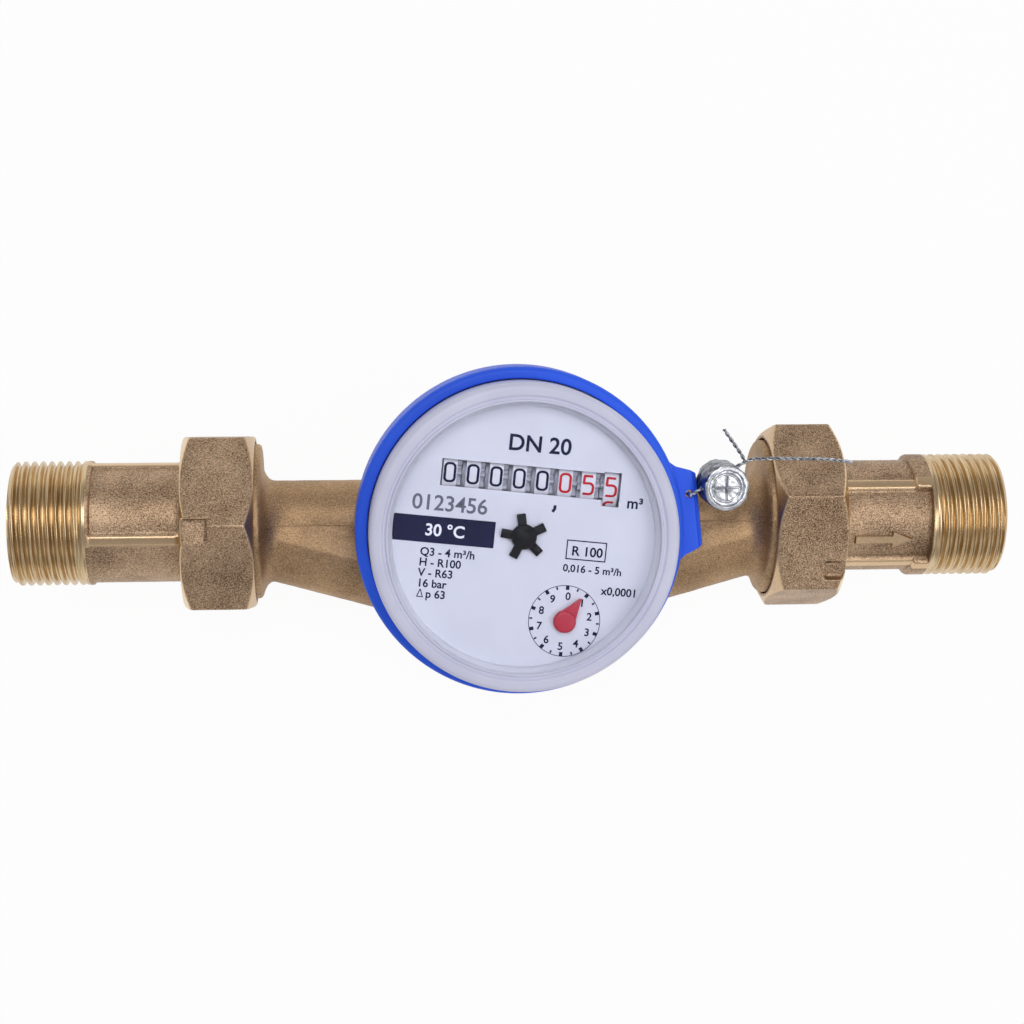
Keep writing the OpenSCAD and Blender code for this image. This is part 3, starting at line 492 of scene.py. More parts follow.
def cast_copy(node, name, voxel, rounds):
    """A copy of a CAD node with its edges softened as a casting's are."""
    piece = copy_of(node, name)
    remesh = piece.modifiers.new("grid", "REMESH")
    remesh.mode = "VOXEL"
    remesh.voxel_size = voxel * MM
    soften = piece.modifiers.new("soften", "SMOOTH")
    soften.factor = 0.5
    soften.iterations = rounds
    return baked(piece)


def bevelled_copy(node, name, width):
    """A copy of a CAD node with its flat faces joined and its edges rounded."""
    piece = copy_of(node, name)
    bm = bmesh.new()
    bm.from_mesh(piece.data)
    bmesh.ops.dissolve_limit(bm, angle_limit=math.radians(2), verts=bm.verts, edges=bm.edges)
    bm.to_mesh(piece.data)
    bm.free()
    bevel = piece.modifiers.new("edge", "BEVEL")
    bevel.width = width * MM
    bevel.segments = 3
    bevel.limit_method = "ANGLE"
    bevel.angle_limit = math.radians(40)
    baked(piece)
    smooth(piece.data)
    return piece


def cut_by(piece, tool, operation):
    """Joins or cuts a piece with another one, which is then removed."""
    modifier = piece.modifiers.new("cut", "BOOLEAN")
    modifier.operation = operation
    modifier.object = tool
    modifier.solver = "EXACT"
    baked(piece)
    bpy.data.objects.remove(tool)
    smooth(piece.data)


def dress(piece, material, body, slot, *nodes):
    """Gives a finished piece its material and its body, and hides the nodes that it stands for. Its slot is
    not used.
    """
    if not piece.data.materials:
        piece.data.materials.append(material)
    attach(piece, body)
    if nodes:
        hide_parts(*nodes)


def mark_polish(piece, rule):
    """Stores how smooth each point is, from 0 to 1, by a rule on its place in millimetres."""
    values = piece.data.attributes.new("polish", "FLOAT", "POINT")
    for i, vertex in enumerate(piece.data.vertices):
        values.data[i].value = rule(vertex.co / MM)


def new_tree(name, inputs):
    """A Geometry Nodes tree with named inputs, and its input node."""
    tree = bpy.data.node_groups.new(name, "GeometryNodeTree")
    tree.interface.new_socket("Geometry", in_out="INPUT", socket_type="NodeSocketGeometry")
    for label, kind in inputs:
        tree.interface.new_socket(label, in_out="INPUT", socket_type=kind)
    tree.interface.new_socket("Geometry", in_out="OUTPUT", socket_type="NodeSocketGeometry")
    return tree, tree.nodes.new("NodeGroupInput")


def end_tree(tree, geometry, material):
    """Ends a tree in real geometry with its material."""
    real = add(tree, "GeometryNodeRealizeInstances", {0: geometry})
    coloured = add(tree, "GeometryNodeSetMaterial", {"Geometry": real, "Material": material})
    add(tree, "NodeGroupOutput", {0: coloured})


def grown(piece, tree, values):
    """Replaces a piece's mesh by what a tree makes of it, with the tree's inputs set by identifier."""
    modifier = piece.modifiers.new("grow", "NODES")
    modifier.node_group = tree
    for item in tree.interface.items_tree:
        if item.in_out == "INPUT" and item.name in values:
            modifier[item.identifier] = values[item.name]
    baked(piece)


# Trees
FLOAT = "NodeSocketFloat"


def thread_tree(material):
    """Cuts a right-hand thread with rounded crests into a turned blank that lies along the pipe axis."""
    sizes = ("Pitch", "Depth", "Radius", "Start", "Axis height")
    tree, given = new_tree("pipe_thread", [(size, FLOAT) for size in sizes])
    place = add(tree, "GeometryNodeInputPosition")
    xyz = add(tree, "ShaderNodeSeparateXYZ", {0: place}).node
    up = add(tree, "ShaderNodeMath", {0: xyz.outputs[2], 1: given.outputs["Axis height"]},
             operation="SUBTRACT")
    angle = add(tree, "ShaderNodeMath", {0: up, 1: xyz.outputs[1]}, operation="ARCTAN2")
    turn = add(tree, "ShaderNodeMath", {0: angle, 1: 2 * math.pi}, operation="DIVIDE")
    along = add(tree, "ShaderNodeMath", {0: xyz.outputs[0], 1: given.outputs["Pitch"]}, operation="DIVIDE")
    lead = add(tree, "ShaderNodeMath", {0: along, 1: turn}, operation="SUBTRACT")
    wave = add(tree, "ShaderNodeMath", {0: lead, 1: 0.5}, operation="PINGPONG")
    groove = add(tree, "ShaderNodeMapRange", {"Value": wave, "From Min": 0.05, "From Max": 0.45},
                 interpolation_type="SMOOTHSTEP")
    out = add(tree, "ShaderNodeMath", {0: xyz.outputs[0]}, operation="ABSOLUTE")
    past = add(tree, "ShaderNodeMath", {0: out, 1: given.outputs["Start"]}, operation="SUBTRACT")
    fade = add(tree, "ShaderNodeMapRange", {"Value": past, "From Min": 0.0,
                                            "From Max": given.outputs["Pitch"]})
    faded = add(tree, "ShaderNodeMath", {0: groove, 1: fade}, operation="MULTIPLY")
    depth = add(tree, "ShaderNodeMath", {0: faded, 1: given.outputs["Depth"]}, operation="MULTIPLY")
    allowed = add(tree, "ShaderNodeMath", {0: given.outputs["Radius"], 1: depth}, operation="SUBTRACT")
    radial = add(tree, "ShaderNodeCombineXYZ", {1: xyz.outputs[1], 2: up})
    radius = add(tree, "ShaderNodeVectorMath", {0: radial}, out="Value", operation="LENGTH")
    over = add(tree, "ShaderNodeMath", {0: radius, 1: allowed}, operation="SUBTRACT")
    cut = add(tree, "ShaderNodeMath", {0: over, 1: 0.0}, operation="MAXIMUM")
    inward = add(tree, "ShaderNodeMath", {0: cut, 1: -1.0}, operation="MULTIPLY")
    outward = add(tree, "ShaderNodeVectorMath", {0: radial}, operation="NORMALIZE")
    shift = add(tree, "ShaderNodeVectorMath", {0: outward, "Scale": inward}, operation="SCALE")
    moved = add(tree, "GeometryNodeSetPosition", {"Geometry": given.outputs["Geometry"], "Offset": shift})
    end_tree(tree, moved, material)
    return tree


def wire_tree(material):
    """Two thin strands twisted around each other along a path."""
    sizes = ("Strand radius", "Lay radius", "Pitch")
    tree, given = new_tree("twisted_wire", [(size, FLOAT) for size in sizes])
    path = add(tree, "GeometryNodeMeshToCurve", {"Mesh": given.outputs["Geometry"]})
    fine = add(tree, "GeometryNodeResampleCurve", {"Curve": path, "Length": 0.22 * MM}, mode="LENGTH")
    length = add(tree, "GeometryNodeSplineParameter", out="Length")
    turns = add(tree, "ShaderNodeMath", {0: length, 1: given.outputs["Pitch"]}, operation="DIVIDE")
    angle = add(tree, "ShaderNodeMath", {0: turns, 1: 2 * math.pi}, operation="MULTIPLY")
    tangent = add(tree, "GeometryNodeInputTangent")
    normal = add(tree, "GeometryNodeInputNormal")
    side = add(tree, "ShaderNodeVectorMath", {0: tangent, 1: normal}, operation="CROSS_PRODUCT")
    profile = add(tree, "GeometryNodeCurvePrimitiveCircle",
                  {"Resolution": 8, "Radius": given.outputs["Strand radius"]}, mode="RADIUS")
    strands = []
    for phase in (0.0, math.pi):
        turned_angle = add(tree, "ShaderNodeMath", {0: angle, 1: phase}, operation="ADD")
        cosine = add(tree, "ShaderNodeMath", {0: turned_angle}, operation="COSINE")
        sine = add(tree, "ShaderNodeMath", {0: turned_angle}, operation="SINE")
        one = add(tree, "ShaderNodeVectorMath", {0: normal, "Scale": cosine}, operation="SCALE")
        two = add(tree, "ShaderNodeVectorMath", {0: side, "Scale": sine}, operation="SCALE")
        both = add(tree, "ShaderNodeVectorMath", {0: one, 1: two}, operation="ADD")
        shift = add(tree, "ShaderNodeVectorMath", {0: both, "Scale": given.outputs["Lay radius"]},
                    operation="SCALE")
        moved = add(tree, "GeometryNodeSetPosition", {"Geometry": fine, "Offset": shift})
        strands.append(add(tree, "GeometryNodeCurveToMesh",
                           {"Curve": moved, "Profile Curve": profile, "Fill Caps": True}))
    join = add(tree, "GeometryNodeJoinGeometry").node
    for strand in strands:
        tree.links.new(strand, join.inputs[0])
    end_tree(tree, join.outputs[0], material)
    return tree


def tick_tree(material):
    """Bars set around a circle, each pointing to its centre."""
    tree, given = new_tree("dial_ticks", [("Count", "NodeSocketInt"), ("Radius", FLOAT), ("Turn", FLOAT),
                                          ("Size", "NodeSocketVector"), ("Centre", "NodeSocketVector")])
    circle = add(tree, "GeometryNodeMeshCircle", {"Vertices": given.outputs["Count"],
                                                  "Radius": given.outputs["Radius"]})
    bar = add(tree, "GeometryNodeMeshCube", {"Size": given.outputs["Size"]})
    index = add(tree, "GeometryNodeInputIndex")
    step = add(tree, "ShaderNodeMath", {0: 2 * math.pi, 1: given.outputs["Count"]}, operation="DIVIDE")
    angle = add(tree, "ShaderNodeMath", {0: index, 1: step}, operation="MULTIPLY")
    turn = add(tree, "ShaderNodeCombineXYZ", {2: angle})
    bars = add(tree, "GeometryNodeInstanceOnPoints", {"Points": circle, "Instance": bar, "Rotation": turn})
    whole = add(tree, "ShaderNodeCombineXYZ", {2: given.outputs["Turn"]})
    placed = add(tree, "GeometryNodeTransform", {"Geometry": bars, "Translation": given.outputs["Centre"],
                                                 "Rotation": whole})
    end_tree(tree, placed, material)
    return tree


# Body casting
def make_body():
    """The cast body, with the slight unevenness of a casting between its ends and above its foot."""
    body = cast_copy("meter_body", "body_casting", 0.62, 5)
    normals = [vertex.normal.copy() for vertex in body.data.vertices]
    for vertex, normal in zip(body.data.vertices, normals):
        place = vertex.co / MM
        skin = noise.noise(place * 0.5) * 0.05 + noise.noise(place * 1.7) * 0.02
        if abs(place.x) < 53 and place.z > 0.6:
            vertex.co += normal * (skin * MM)
    smooth(body.data, 180)
    dress(body, BRASS_FINE, "body", "cast_brass", "meter_body")
    return body


def make_parting_line(body):
    """Low flash along the top of each passage, left where the halves of the mould met."""
    bpy.context.view_layer.update()
    half, rise, edge, root = 0.3, 0.1, 0.05, 0.35
    section = [Vector((0, y, z)) for y, z in ((-half, -edge), (0, rise), (half, -edge), (0, -root))]
    parts = []
    for side in (-1, 1):
        verts = []
        for x in np.linspace(PARTING_START_X, NUT_IN_X - 1.0, 60):
            place = body.ray_cast(Vector((side * x, 0, DIAL_Z)) * MM, (0, 0, -1))[1] / MM
            verts += [place + corner for corner in section]
        parts.append((verts, bar_faces(len(verts) // 4)))
    dress(piece_of("parting_line", *joined(parts)), BRASS_FINE, "body", "cast_brass")


# Union nuts
def make_nut(side):
    name = "inlet_nut" if side < 0 else "outlet_nut"
    nut = cast_copy(name, name + "_casting", 0.3, 2)

    def chamfer_polish(p):
        """Bright on the chamfers and in the bore, less so on the half next to the body."""
        radius = math.hypot(p.y, p.z - AXIS_Z)
        depth = min(abs(p.x) - NUT_IN_X, NUT_OUT_X - abs(p.x))
        cone = NUT_FLAT_R - 0.2 + max(depth, 0) * (NUT_CORNER_RISE / NUT_CHAMFER)
        shine = 1.0 if abs(p.x) > (NUT_IN_X + NUT_OUT_X) / 2 else 0.6
        return shine if radius > cone - 0.3 or radius < NUT_BORE_R else 0.0
    mark_polish(nut, chamfer_polish)
    smooth(nut.data, 50)
    dress(nut, BRASS, name + "_set", "cast_brass", name)


# Threaded tails
def rib_share(angle, turn, width):
    """1 on one of the four ribs of a tail and 0 between them, with narrow slopes.
    Angles run from +Z to +Y."""
    quarter = math.pi / 2
    off = (angle - turn + quarter / 2) % quarter - quarter / 2
    return min(1.0, max(0.0, (width / 2 - abs(off)) / 0.03 + 0.5))


def make_tail(side, tree):
    inlet = side < 0
    name = "inlet_tail" if inlet else "outlet_tail"
    panel_r = 12.72 if inlet else 12.0
    rib_r = 13.02 if inlet else 12.5
    rib_turn = math.radians(79 if inlet else 39)
    collar_x = THREAD_X - (0.9 if inlet else 3.5)
    neck_x = NUT_OUT_X + 0.4
    rib_angle = RIB_WIDTH / panel_r
    pocket = 0.4
    pocket_end_x = THREAD_X - 0.5

    def tail_radius(x, angle, radius):
        share = pocket_share(angle)
        if not inlet and radius > panel_r + 0.5 and collar_x - 0.2 < abs(x) < pocket_end_x - 0.01:
            return radius - (radius - panel_r + pocket) * share
        if abs(radius - panel_r) > 0.01:
            return radius
        ends = min(1.0, max(0.0, (abs(x) - neck_x) / 0.5))
        grain = 0.03 * noise.noise(Vector((x, angle * 13, side)) * 1.1)
        rise = (rib_r - panel_r) * rib_share(angle, rib_turn, rib_angle)
        return radius + (rise + grain - pocket * share) * ends

    def pocket_share(angle):
        """1 in the panel between the two ribs that face the eye, and 0 beside it."""
        past = (angle - rib_turn + math.pi / 2) % (2 * math.pi)
        edge = min(past, math.pi / 2 - past) - rib_angle / 2
        return min(1.0, max(0.0, edge / 0.04))

    outer = [(TAIL_FLANGE_R, TAIL_FLANGE_X), (TAIL_FLANGE_R, TAIL_FLANGE_END_X)]
    outer += [(panel_r, x) for x in np.linspace(TAIL_FLANGE_END_X, collar_x - 0.35, 48)]
    outer += [(THREAD_R - 0.1, collar_x - 0.1)]
    outer += [(THREAD_R, x) for x in (*np.linspace(collar_x + 0.15, pocket_end_x - 0.1, 4), pocket_end_x)]
    outer += [(THREAD_R, x) for x in np.arange(THREAD_X - 0.3, TAIL_END_X - 1.0, 0.13)]
    outer += [(THREAD_R - t, TAIL_END_X - 1.0 + t) for t in np.linspace(0, 0.9, 8)]
    outer += [(THREAD_R - 1.3, TAIL_END_X), (TAIL_BORE_R + 0.3, TAIL_END_X), (TAIL_BORE_R, TAIL_END_X - 0.3),
              (TAIL_BORE_R, TAIL_FLANGE_X)]
    tail = turned(name + "_turned", [(r, side * x) for r, x in outer], 240, True, tail_radius, crease=50)
    grown(tail, tree, {"Pitch": THREAD_PITCH * MM, "Depth": THREAD_DEPTH * MM, "Radius": THREAD_R * MM,
                       "Start": (THREAD_X + 0.2) * MM, "Axis height": AXIS_Z * MM})
    smooth(tail.data, 60)
    tail.data.materials.append(BRASS)
    for polygon in tail.data.polygons:
        x, y, z = polygon.center / MM
        bore = math.hypot(y, z - AXIS_Z) < TAIL_BORE_R + 0.5
        cut = bore or abs(x) > THREAD_X - 0.3 or abs(x) < TAIL_FLANGE_END_X
        polygon.material_index = 0 if cut else 1

    def rib_polish(p):
        angle = math.atan2(p.y, p.z - AXIS_Z)
        return 0.75 * rib_share(angle, rib_turn, rib_angle)
    mark_polish(tail, rib_polish)
    dress(tail, BRASS, "body", "cast_brass", name)


def make_arrow():
    """Raised flow arrow on the outlet tail's neck, with the sloping sides of a cast one and a rubbed top."""
    neck_r = 11.6
    turn = math.radians(-20)
    base, top, slope, rows = -0.25, 0.55, 0.4, 8
    stations = [(73.2, 0.75), (81.2, 0.75), (81.3, 1.75), (85.2, 0.05)]
    verts, faces = [], []
    for i, (x, half) in enumerate(stations):
        outwards = 1 if i == len(stations) - 1 else -1
        for height, spread in ((base, slope), (top, 0.0)):
            for k in range(rows + 1):
                angle = turn + (half + spread) * (2 * k / rows - 1) / neck_r
                verts.append((x + outwards * spread, (neck_r + height) * math.sin(angle),
                              AXIS_Z + (neck_r + height) * math.cos(angle)))
    ring = list(range(rows + 1)) + list(range(2 * rows + 1, rows, -1))
    count = len(ring)
    for s in range(len(stations) - 1):
        a, b = s * count, (s + 1) * count
        for i in range(count):
            p, q = ring[i], ring[(i + 1) % count]
            faces.append((a + p, a + q, b + q, b + p))
    last = (len(stations) - 1) * count
    faces += [tuple(ring), tuple(last + i for i in ring)]
    arrow = piece_of("flow_arrow", verts, faces)
    mark_polish(arrow, lambda p: 0.6 if math.hypot(p.y, p.z - AXIS_Z) > neck_r + top / 2 else 0.0)
    dress(arrow, BRASS, "body", "cast_brass")


# Register cover, bezel and lock ring
def make_cover():
    """One moulding: a clear flat window in a frosted rim with a bead and a groove."""
    groove_z = COVER_TOP_Z - 0.45
    profile = filleted([(COVER_BORE_R, COVER_FOOT_Z, 0), (COVER_FOOT_R, COVER_FOOT_Z, 0.3),
                        (COVER_FOOT_R, COVER_STEP_Z, 0.4), (COVER_R, COVER_STEP_Z, 0.25),
                        (COVER_R, COVER_TOP_Z, 1.7), (28.9, COVER_TOP_Z, 0.6), (28.6, groove_z, 0.3),
                        (28.1, groove_z, 0.15), (27.95, COVER_TOP_Z, 0.15), (27.6, COVER_TOP_Z, 0.15),
                        (WINDOW_R, WINDOW_Z, 0.1), (27.1, WINDOW_Z, 0), (0, WINDOW_Z, 0),
                        (0, WINDOW_UNDER_Z, 0), (29.0, WINDOW_UNDER_Z, 0),
                        (COVER_BORE_R, WINDOW_UNDER_Z, 0.5)])
    cover = turned("cover_moulded", profile)
    cover.data.materials.append(CLEAR)
    cover.data.materials.append(FROSTED)
    for polygon in cover.data.polygons:
        radius = math.hypot(polygon.center.x, polygon.center.y) / MM
        polygon.material_index = int(radius > WINDOW_R)
    dress(cover, CLEAR, "register", "clear_plastic", "register_cover")


def make_bezel():
    profile = filleted([(DIAL_R, DIAL_Z, 0), (BEZEL_R, DIAL_Z, 0), (BEZEL_R, BEZEL_TOP_Z, 0.3),
                        (DIAL_R + 0.8, BEZEL_TOP_Z, 0.5), (DIAL_R, DIAL_Z + 1.7, 0.5)])
    dress(turned("bezel_moulded", profile), WHITE, "register", "white_plastic", "dial_bezel")


def make_lock_ring():
    """The ring with its lug, which flares into the ring, folds down at its tip and has the wire's hole."""
    profile = filleted([(RING_FOOT_R, RING_LEDGE_Z, 0.2), (RING_FOOT_R + 0.4, RING_FOOT_Z, 0.3),
                        (RING_R, RING_FOOT_Z, 0.6), (RING_R, RING_TOP_Z, 1.6), (RING_LIP_R, RING_TOP_Z, 0.4),
                        (RING_LIP_R, RING_LIP_Z, 0.2), (RING_BORE_R, RING_LIP_Z, 0),
                        (RING_BORE_R, RING_LEDGE_Z, 0)])
    ring = turned("lock_ring_moulded", profile)
    outline = ((31.7, 11.9), (32.7, 10.4), (RING_R, 9.3), (36.9, 8.2))
    stations = [(x, half, LUG_LOW_Z, LUG_TOP_Z) for x, half in outline]
    stations += [(37.4, 7.9, LUG_LIP_Z, LUG_TOP_Z - 0.3), (38.0, 7.5, LUG_LIP_Z, LUG_TOP_Z - 1.0)]
    verts = []
    for x, half, low, high in stations:
        verts += [(x, -half, low), (x, half, low), (x, half, high), (x, -half, high)]
    lug = piece_of("lug", verts, bar_faces(len(stations)))
    bevel = lug.modifiers.new("edge", "BEVEL")
    bevel.width = 0.25 * MM
    bevel.segments = 3
    baked(lug)
    smooth(lug.data, 20)
    low, high = 36.0, 44.0
    hole = turned("hole", [(0, low), (LUG_HOLE_R, low), (LUG_HOLE_R, high), (0, high)], 32)
    hole.data.transform(Matrix.Translation(Vector((*LUG_HOLE, 0)) * MM))
    cut_by(lug, hole, "DIFFERENCE")
    fold_z = LUG_TOP_Z - 0.45
    crease = [(x, y, z) for x in (37.0, 37.25) for y in (-12, 12) for z in (fold_z, LUG_TOP_Z + 1)]
    sides = [(0, 1, 3, 2), (4, 6, 7, 5), (0, 4, 5, 1), (2, 3, 7, 6), (0, 2, 6, 4), (1, 5, 7, 3)]
    cut_by(lug, piece_of("crease", crease, sides), "DIFFERENCE")
    within = RING_R - 0.6
    cut_by(lug, turned("inside", [(0, low), (within, low), (within, high), (0, high)]), "DIFFERENCE")
    lug.data.transform(Matrix.Rotation(LUG_TURN, 4, "Z"))
    cut_by(ring, lug, "UNION")
    smooth(ring.data, 25)
    dress(ring, BLUE, "body", "blue_plastic", "lock_ring")


# Strokes of the counter's digits: corners (x, y), with a radius where one is tight, and whether they close
DIGITS = {
    0: [([(-1, -1.95), (1, -1.95), (1, 1.95), (-1, 1.95)], True)],
    1: [([(-0.6, 1.3), (0.2, 1.95, 0.1), (0.2, -1.95)], False)],
    2: [([(-1, 1.1), (-1, 1.95), (1, 1.95), (1, 0.3), (-1, -1.9, 0.1), (1, -1.95)], False)],
    3: [([(-1, 1.95), (0.95, 1.95, 0.1), (-0.2, 0.45, 0.1), (1, 0.3), (1, -1.95), (-1, -1.95)], False)],
    4: [([(0.6, -1.95), (0.6, 1.95, 0.1), (-1, -0.8, 0.1), (1.1, -0.8)], False)],
    5: [([(0.85, 1.95), (-0.85, 1.95, 0.1), (-0.95, 0.35, 0.1), (1, 0.45), (1, -1.95), (-1, -1.95)], False)],
    6: [([(0.8, 1.95), (-1, 1.95), (-1, -1.95), (1, -1.95), (1, 0.3), (-0.9, 0.3)], False)],
    7: [([(-1, 1.95), (1, 1.95, 0.1), (-0.3, -1.95)], False)],
    8: [([(-0.9, 0.15), (0.9, 0.15), (0.9, 1.95), (-0.9, 1.95)], True),
        ([(-1, -1.95), (1, -1.95), (1, 0.15), (-1, 0.15)], True)],
    9: [([(-0.8, -1.95), (1, -1.95), (1, 1.95), (-1, 1.95), (-1, -0.3), (0.9, -0.3)], False)],
}
DIGIT_STROKE = 0.52
DIGIT_ROUND = 0.8
DIGIT_STRETCH = 0.94


def make_digits(k):
    """The ten digits printed around number wheel k."""
    wheel_x = FIRST_WHEEL_X - (k - 1) * WHEEL_PITCH
    parts = []
    for digit, strokes in DIGITS.items():
        turn = (READING[k - 1] - digit) * DIGIT_PITCH
        for corners, closed in strokes:
            path = filleted([(*corner, DIGIT_ROUND)[:3] for corner in corners], closed, math.radians(18))
            verts, faces = swept_bar(divided(path, closed), DIGIT_STROKE, -PRINT_T, PRINT_T, closed)
            bent = []
            for u, w, h in verts:
                angle = turn + w * DIGIT_STRETCH / DRUM_R
                bent.append(on_dial((wheel_x + u, DRUM_Y + (DRUM_R + h) * math.sin(angle),
                                     DRUM_Z + (DRUM_R + h) * math.cos(angle))))
            parts.append((bent, faces))
    ink, slot = (RED_INK, "red_plastic") if k <= RED_WHEELS else (NAVY_INK, "black_plastic")
    dress(piece_of(f"wheel_digits_{k}", *joined(parts)), ink, f"number_wheel_{k}_set", slot)


def lettering(words, size, x, y, align="LEFT", bold=0.05):
    """Verts and faces of a printed word on the dial."""
    curve = bpy.data.curves.new("words", "FONT")
    curve.body = words
    curve.size = size * MM
    curve.extrude = PRINT_T / 2 * MM
    curve.offset = bold * MM
    curve.resolution_u = 4
    curve.align_x = align
    holder = bpy.data.objects.new("words", curve)
    bpy.context.collection.objects.link(holder)
    mesh = plain_mesh(holder)
    verts = []
    for vertex in mesh.vertices:
        flat = vertex.co / MM
        verts.append(on_dial((x + flat.x, y + flat.y, DIAL_Z + PRINT_T / 2 + flat.z)))
    faces = [tuple(polygon.vertices) for polygon in mesh.polygons]
    bpy.data.objects.remove(holder)
    bpy.data.meshes.remove(mesh)
    return verts, faces


def dial_bar(path, width, closed):
    verts, faces = swept_bar(path, width, DIAL_Z, DIAL_Z + PRINT_T, closed)
    return [on_dial(v) for v in verts], faces


def make_print(name, material, slot, parts):
    dress(piece_of(name, *joined(parts)), material, "register", slot)


# Words on the dial: text, height, place, alignment and added stroke
DIAL_WORDS = [
    ("DN 20", 4.6, 1.4, 17.3, "CENTER", 0.09),
    ("m³", 3.1, 20.2, 7.7, "LEFT", 0.07),
    ("R 100", 2.7, 10.0, -2.9, "LEFT", 0.06),
    ("0,016 - 5 m³/h", 2.1, 8.6, -6.3, "LEFT", 0.05),
    ("x0,0001", 2.3, 16.9, -10.4, "LEFT", 0.05),
]
RATING = ["Q3 - 4 m³/h", "H - R100", "V - R63", "16 bar", "   p 63"]
RATING_AT = (-20.6, -5.6)
RATING_SIZE = 2.3
RATING_STEP = 2.15
RANGE_BOX = [(9.0, -3.7), (17.0, -3.7), (17.0, 0.1), (9.0, 0.1)]
COMMA = [(5.7, 6.9), (5.7, 6.2), (5.3, 5.5)]
BAR_LOW, BAR_HIGH, BAR_RIGHT = -3.0, 2.4, -5.9


def make_dial_print():
    left, top = RATING_AT
    lines = [lettering(line, RATING_SIZE, left, top - i * RATING_STEP) for i, line in enumerate(RATING)]
    last = top - (len(RATING) - 1) * RATING_STEP
    navy = lines + [lettering("Δ", RATING_SIZE, left, last, bold=0.0)]
    navy += [lettering(*word) for word in DIAL_WORDS]
    navy += [dial_bar(RANGE_BOX, 0.24, True), dial_bar(COMMA, 0.6, False)]
    middle = Vector(POINTER_AT)
    circle = [middle + polar(POINTER_CIRCLE_R, math.radians(a)) for a in range(0, 360, 4)]
    navy.append(dial_bar(circle, 0.14, True))
    for n in range(10):
        at = middle + polar(POINTER_DIGITS_R, math.pi / 2 - math.radians(36 * n + 3))
        navy.append(lettering(str(n), 2.2, at.x, at.y - 0.8, "CENTER"))
    make_print("dial_print", NAVY_INK, "black_plastic", navy)
    serial = lettering("0123456", 4.4, -23.2, 3.7, bold=0.06)
    make_print("serial_print", GREY_INK, "black_plastic", [serial])


def make_type_bar():
    """Dark bar that ends at the dial's edge, with white words on it."""
    edge = [(-math.sqrt(DIAL_R ** 2 - y * y) + 0.1, y) for y in np.linspace(BAR_HIGH, BAR_LOW, 9)]
    outline = [(BAR_RIGHT, BAR_LOW), (BAR_RIGHT, BAR_HIGH)] + edge
    count = len(outline)
    verts = [on_dial((x, y, z)) for z in (DIAL_Z, DIAL_Z + PRINT_T) for x, y in outline]
    faces = [(i, (i + 1) % count, count + (i + 1) % count, count + i) for i in range(count)]
    faces += [tuple(range(count)), tuple(range(count, 2 * count))]
    make_print("type_bar", NAVY_INK, "black_plastic", [(verts, faces)])
    verts, faces = lettering("30 °C", 3.4, -16.0, -1.5, "CENTER", 0.07)
    raised = [(x, y, z + PRINT_T) for x, y, z in verts]
    make_print("bar_print", WHITE_INK, "white_plastic", [(raised, faces)])


def make_ticks():
    centre = on_dial((*POINTER_AT, DIAL_Z + PRINT_T / 2))
    tree = tick_tree(NAVY_INK)
    for name, turn, length, width in (("long_ticks", 0, 0.85, 0.7), ("short_ticks", 18, 0.6, 0.34)):
        ticks = piece_of(name, [(0, 0, 0)], [])
        grown(ticks, tree, {"Count": 10, "Radius": TICK_R * MM,
                            "Size": (length * MM, width * MM, PRINT_T * MM),
                            "Centre": [c * MM for c in centre],
                            "Turn": DIAL_TURN + math.pi / 2 + math.radians(turn)})
        dress(ticks, NAVY_INK, "register", "black_plastic")


def make_hands():
    star = bevelled_copy("star_wheel", "star_moulded", HAND_EDGE)
    dress(star, BLACK, "drive_set", "black_plastic", "star_wheel")
    pointer = bevelled_copy("litre_pointer", "pointer_moulded", HAND_EDGE)
    dress(pointer, RED, "pointer_set", "red_plastic", "litre_pointer")
    foot = HAND_TOP_Z - 0.05
    hub = filleted([(0, foot, 0), (2.6, foot, 0), (2.4, HAND_TOP_Z + 0.4, 0.2), (1.1, HAND_TOP_Z + 1.0, 0.3),
                    (0, HAND_TOP_Z + 1.1, 0)])
    dress(turned("star_hub", hub, 64), BLACK, "drive_set", "black_plastic")
    cap = filleted([(0, foot, 0), (2.15, foot, 0), (2.05, HAND_TOP_Z + 0.4, 0.3), (0, HAND_TOP_Z + 0.5, 0)])
    hub_cap = turned("pointer_hub", cap, 64)
    hub_cap.data.transform(Matrix.Translation(Vector(on_dial((*POINTER_AT, 0))) * MM))
    dress(hub_cap, RED, "pointer_set", "red_plastic")


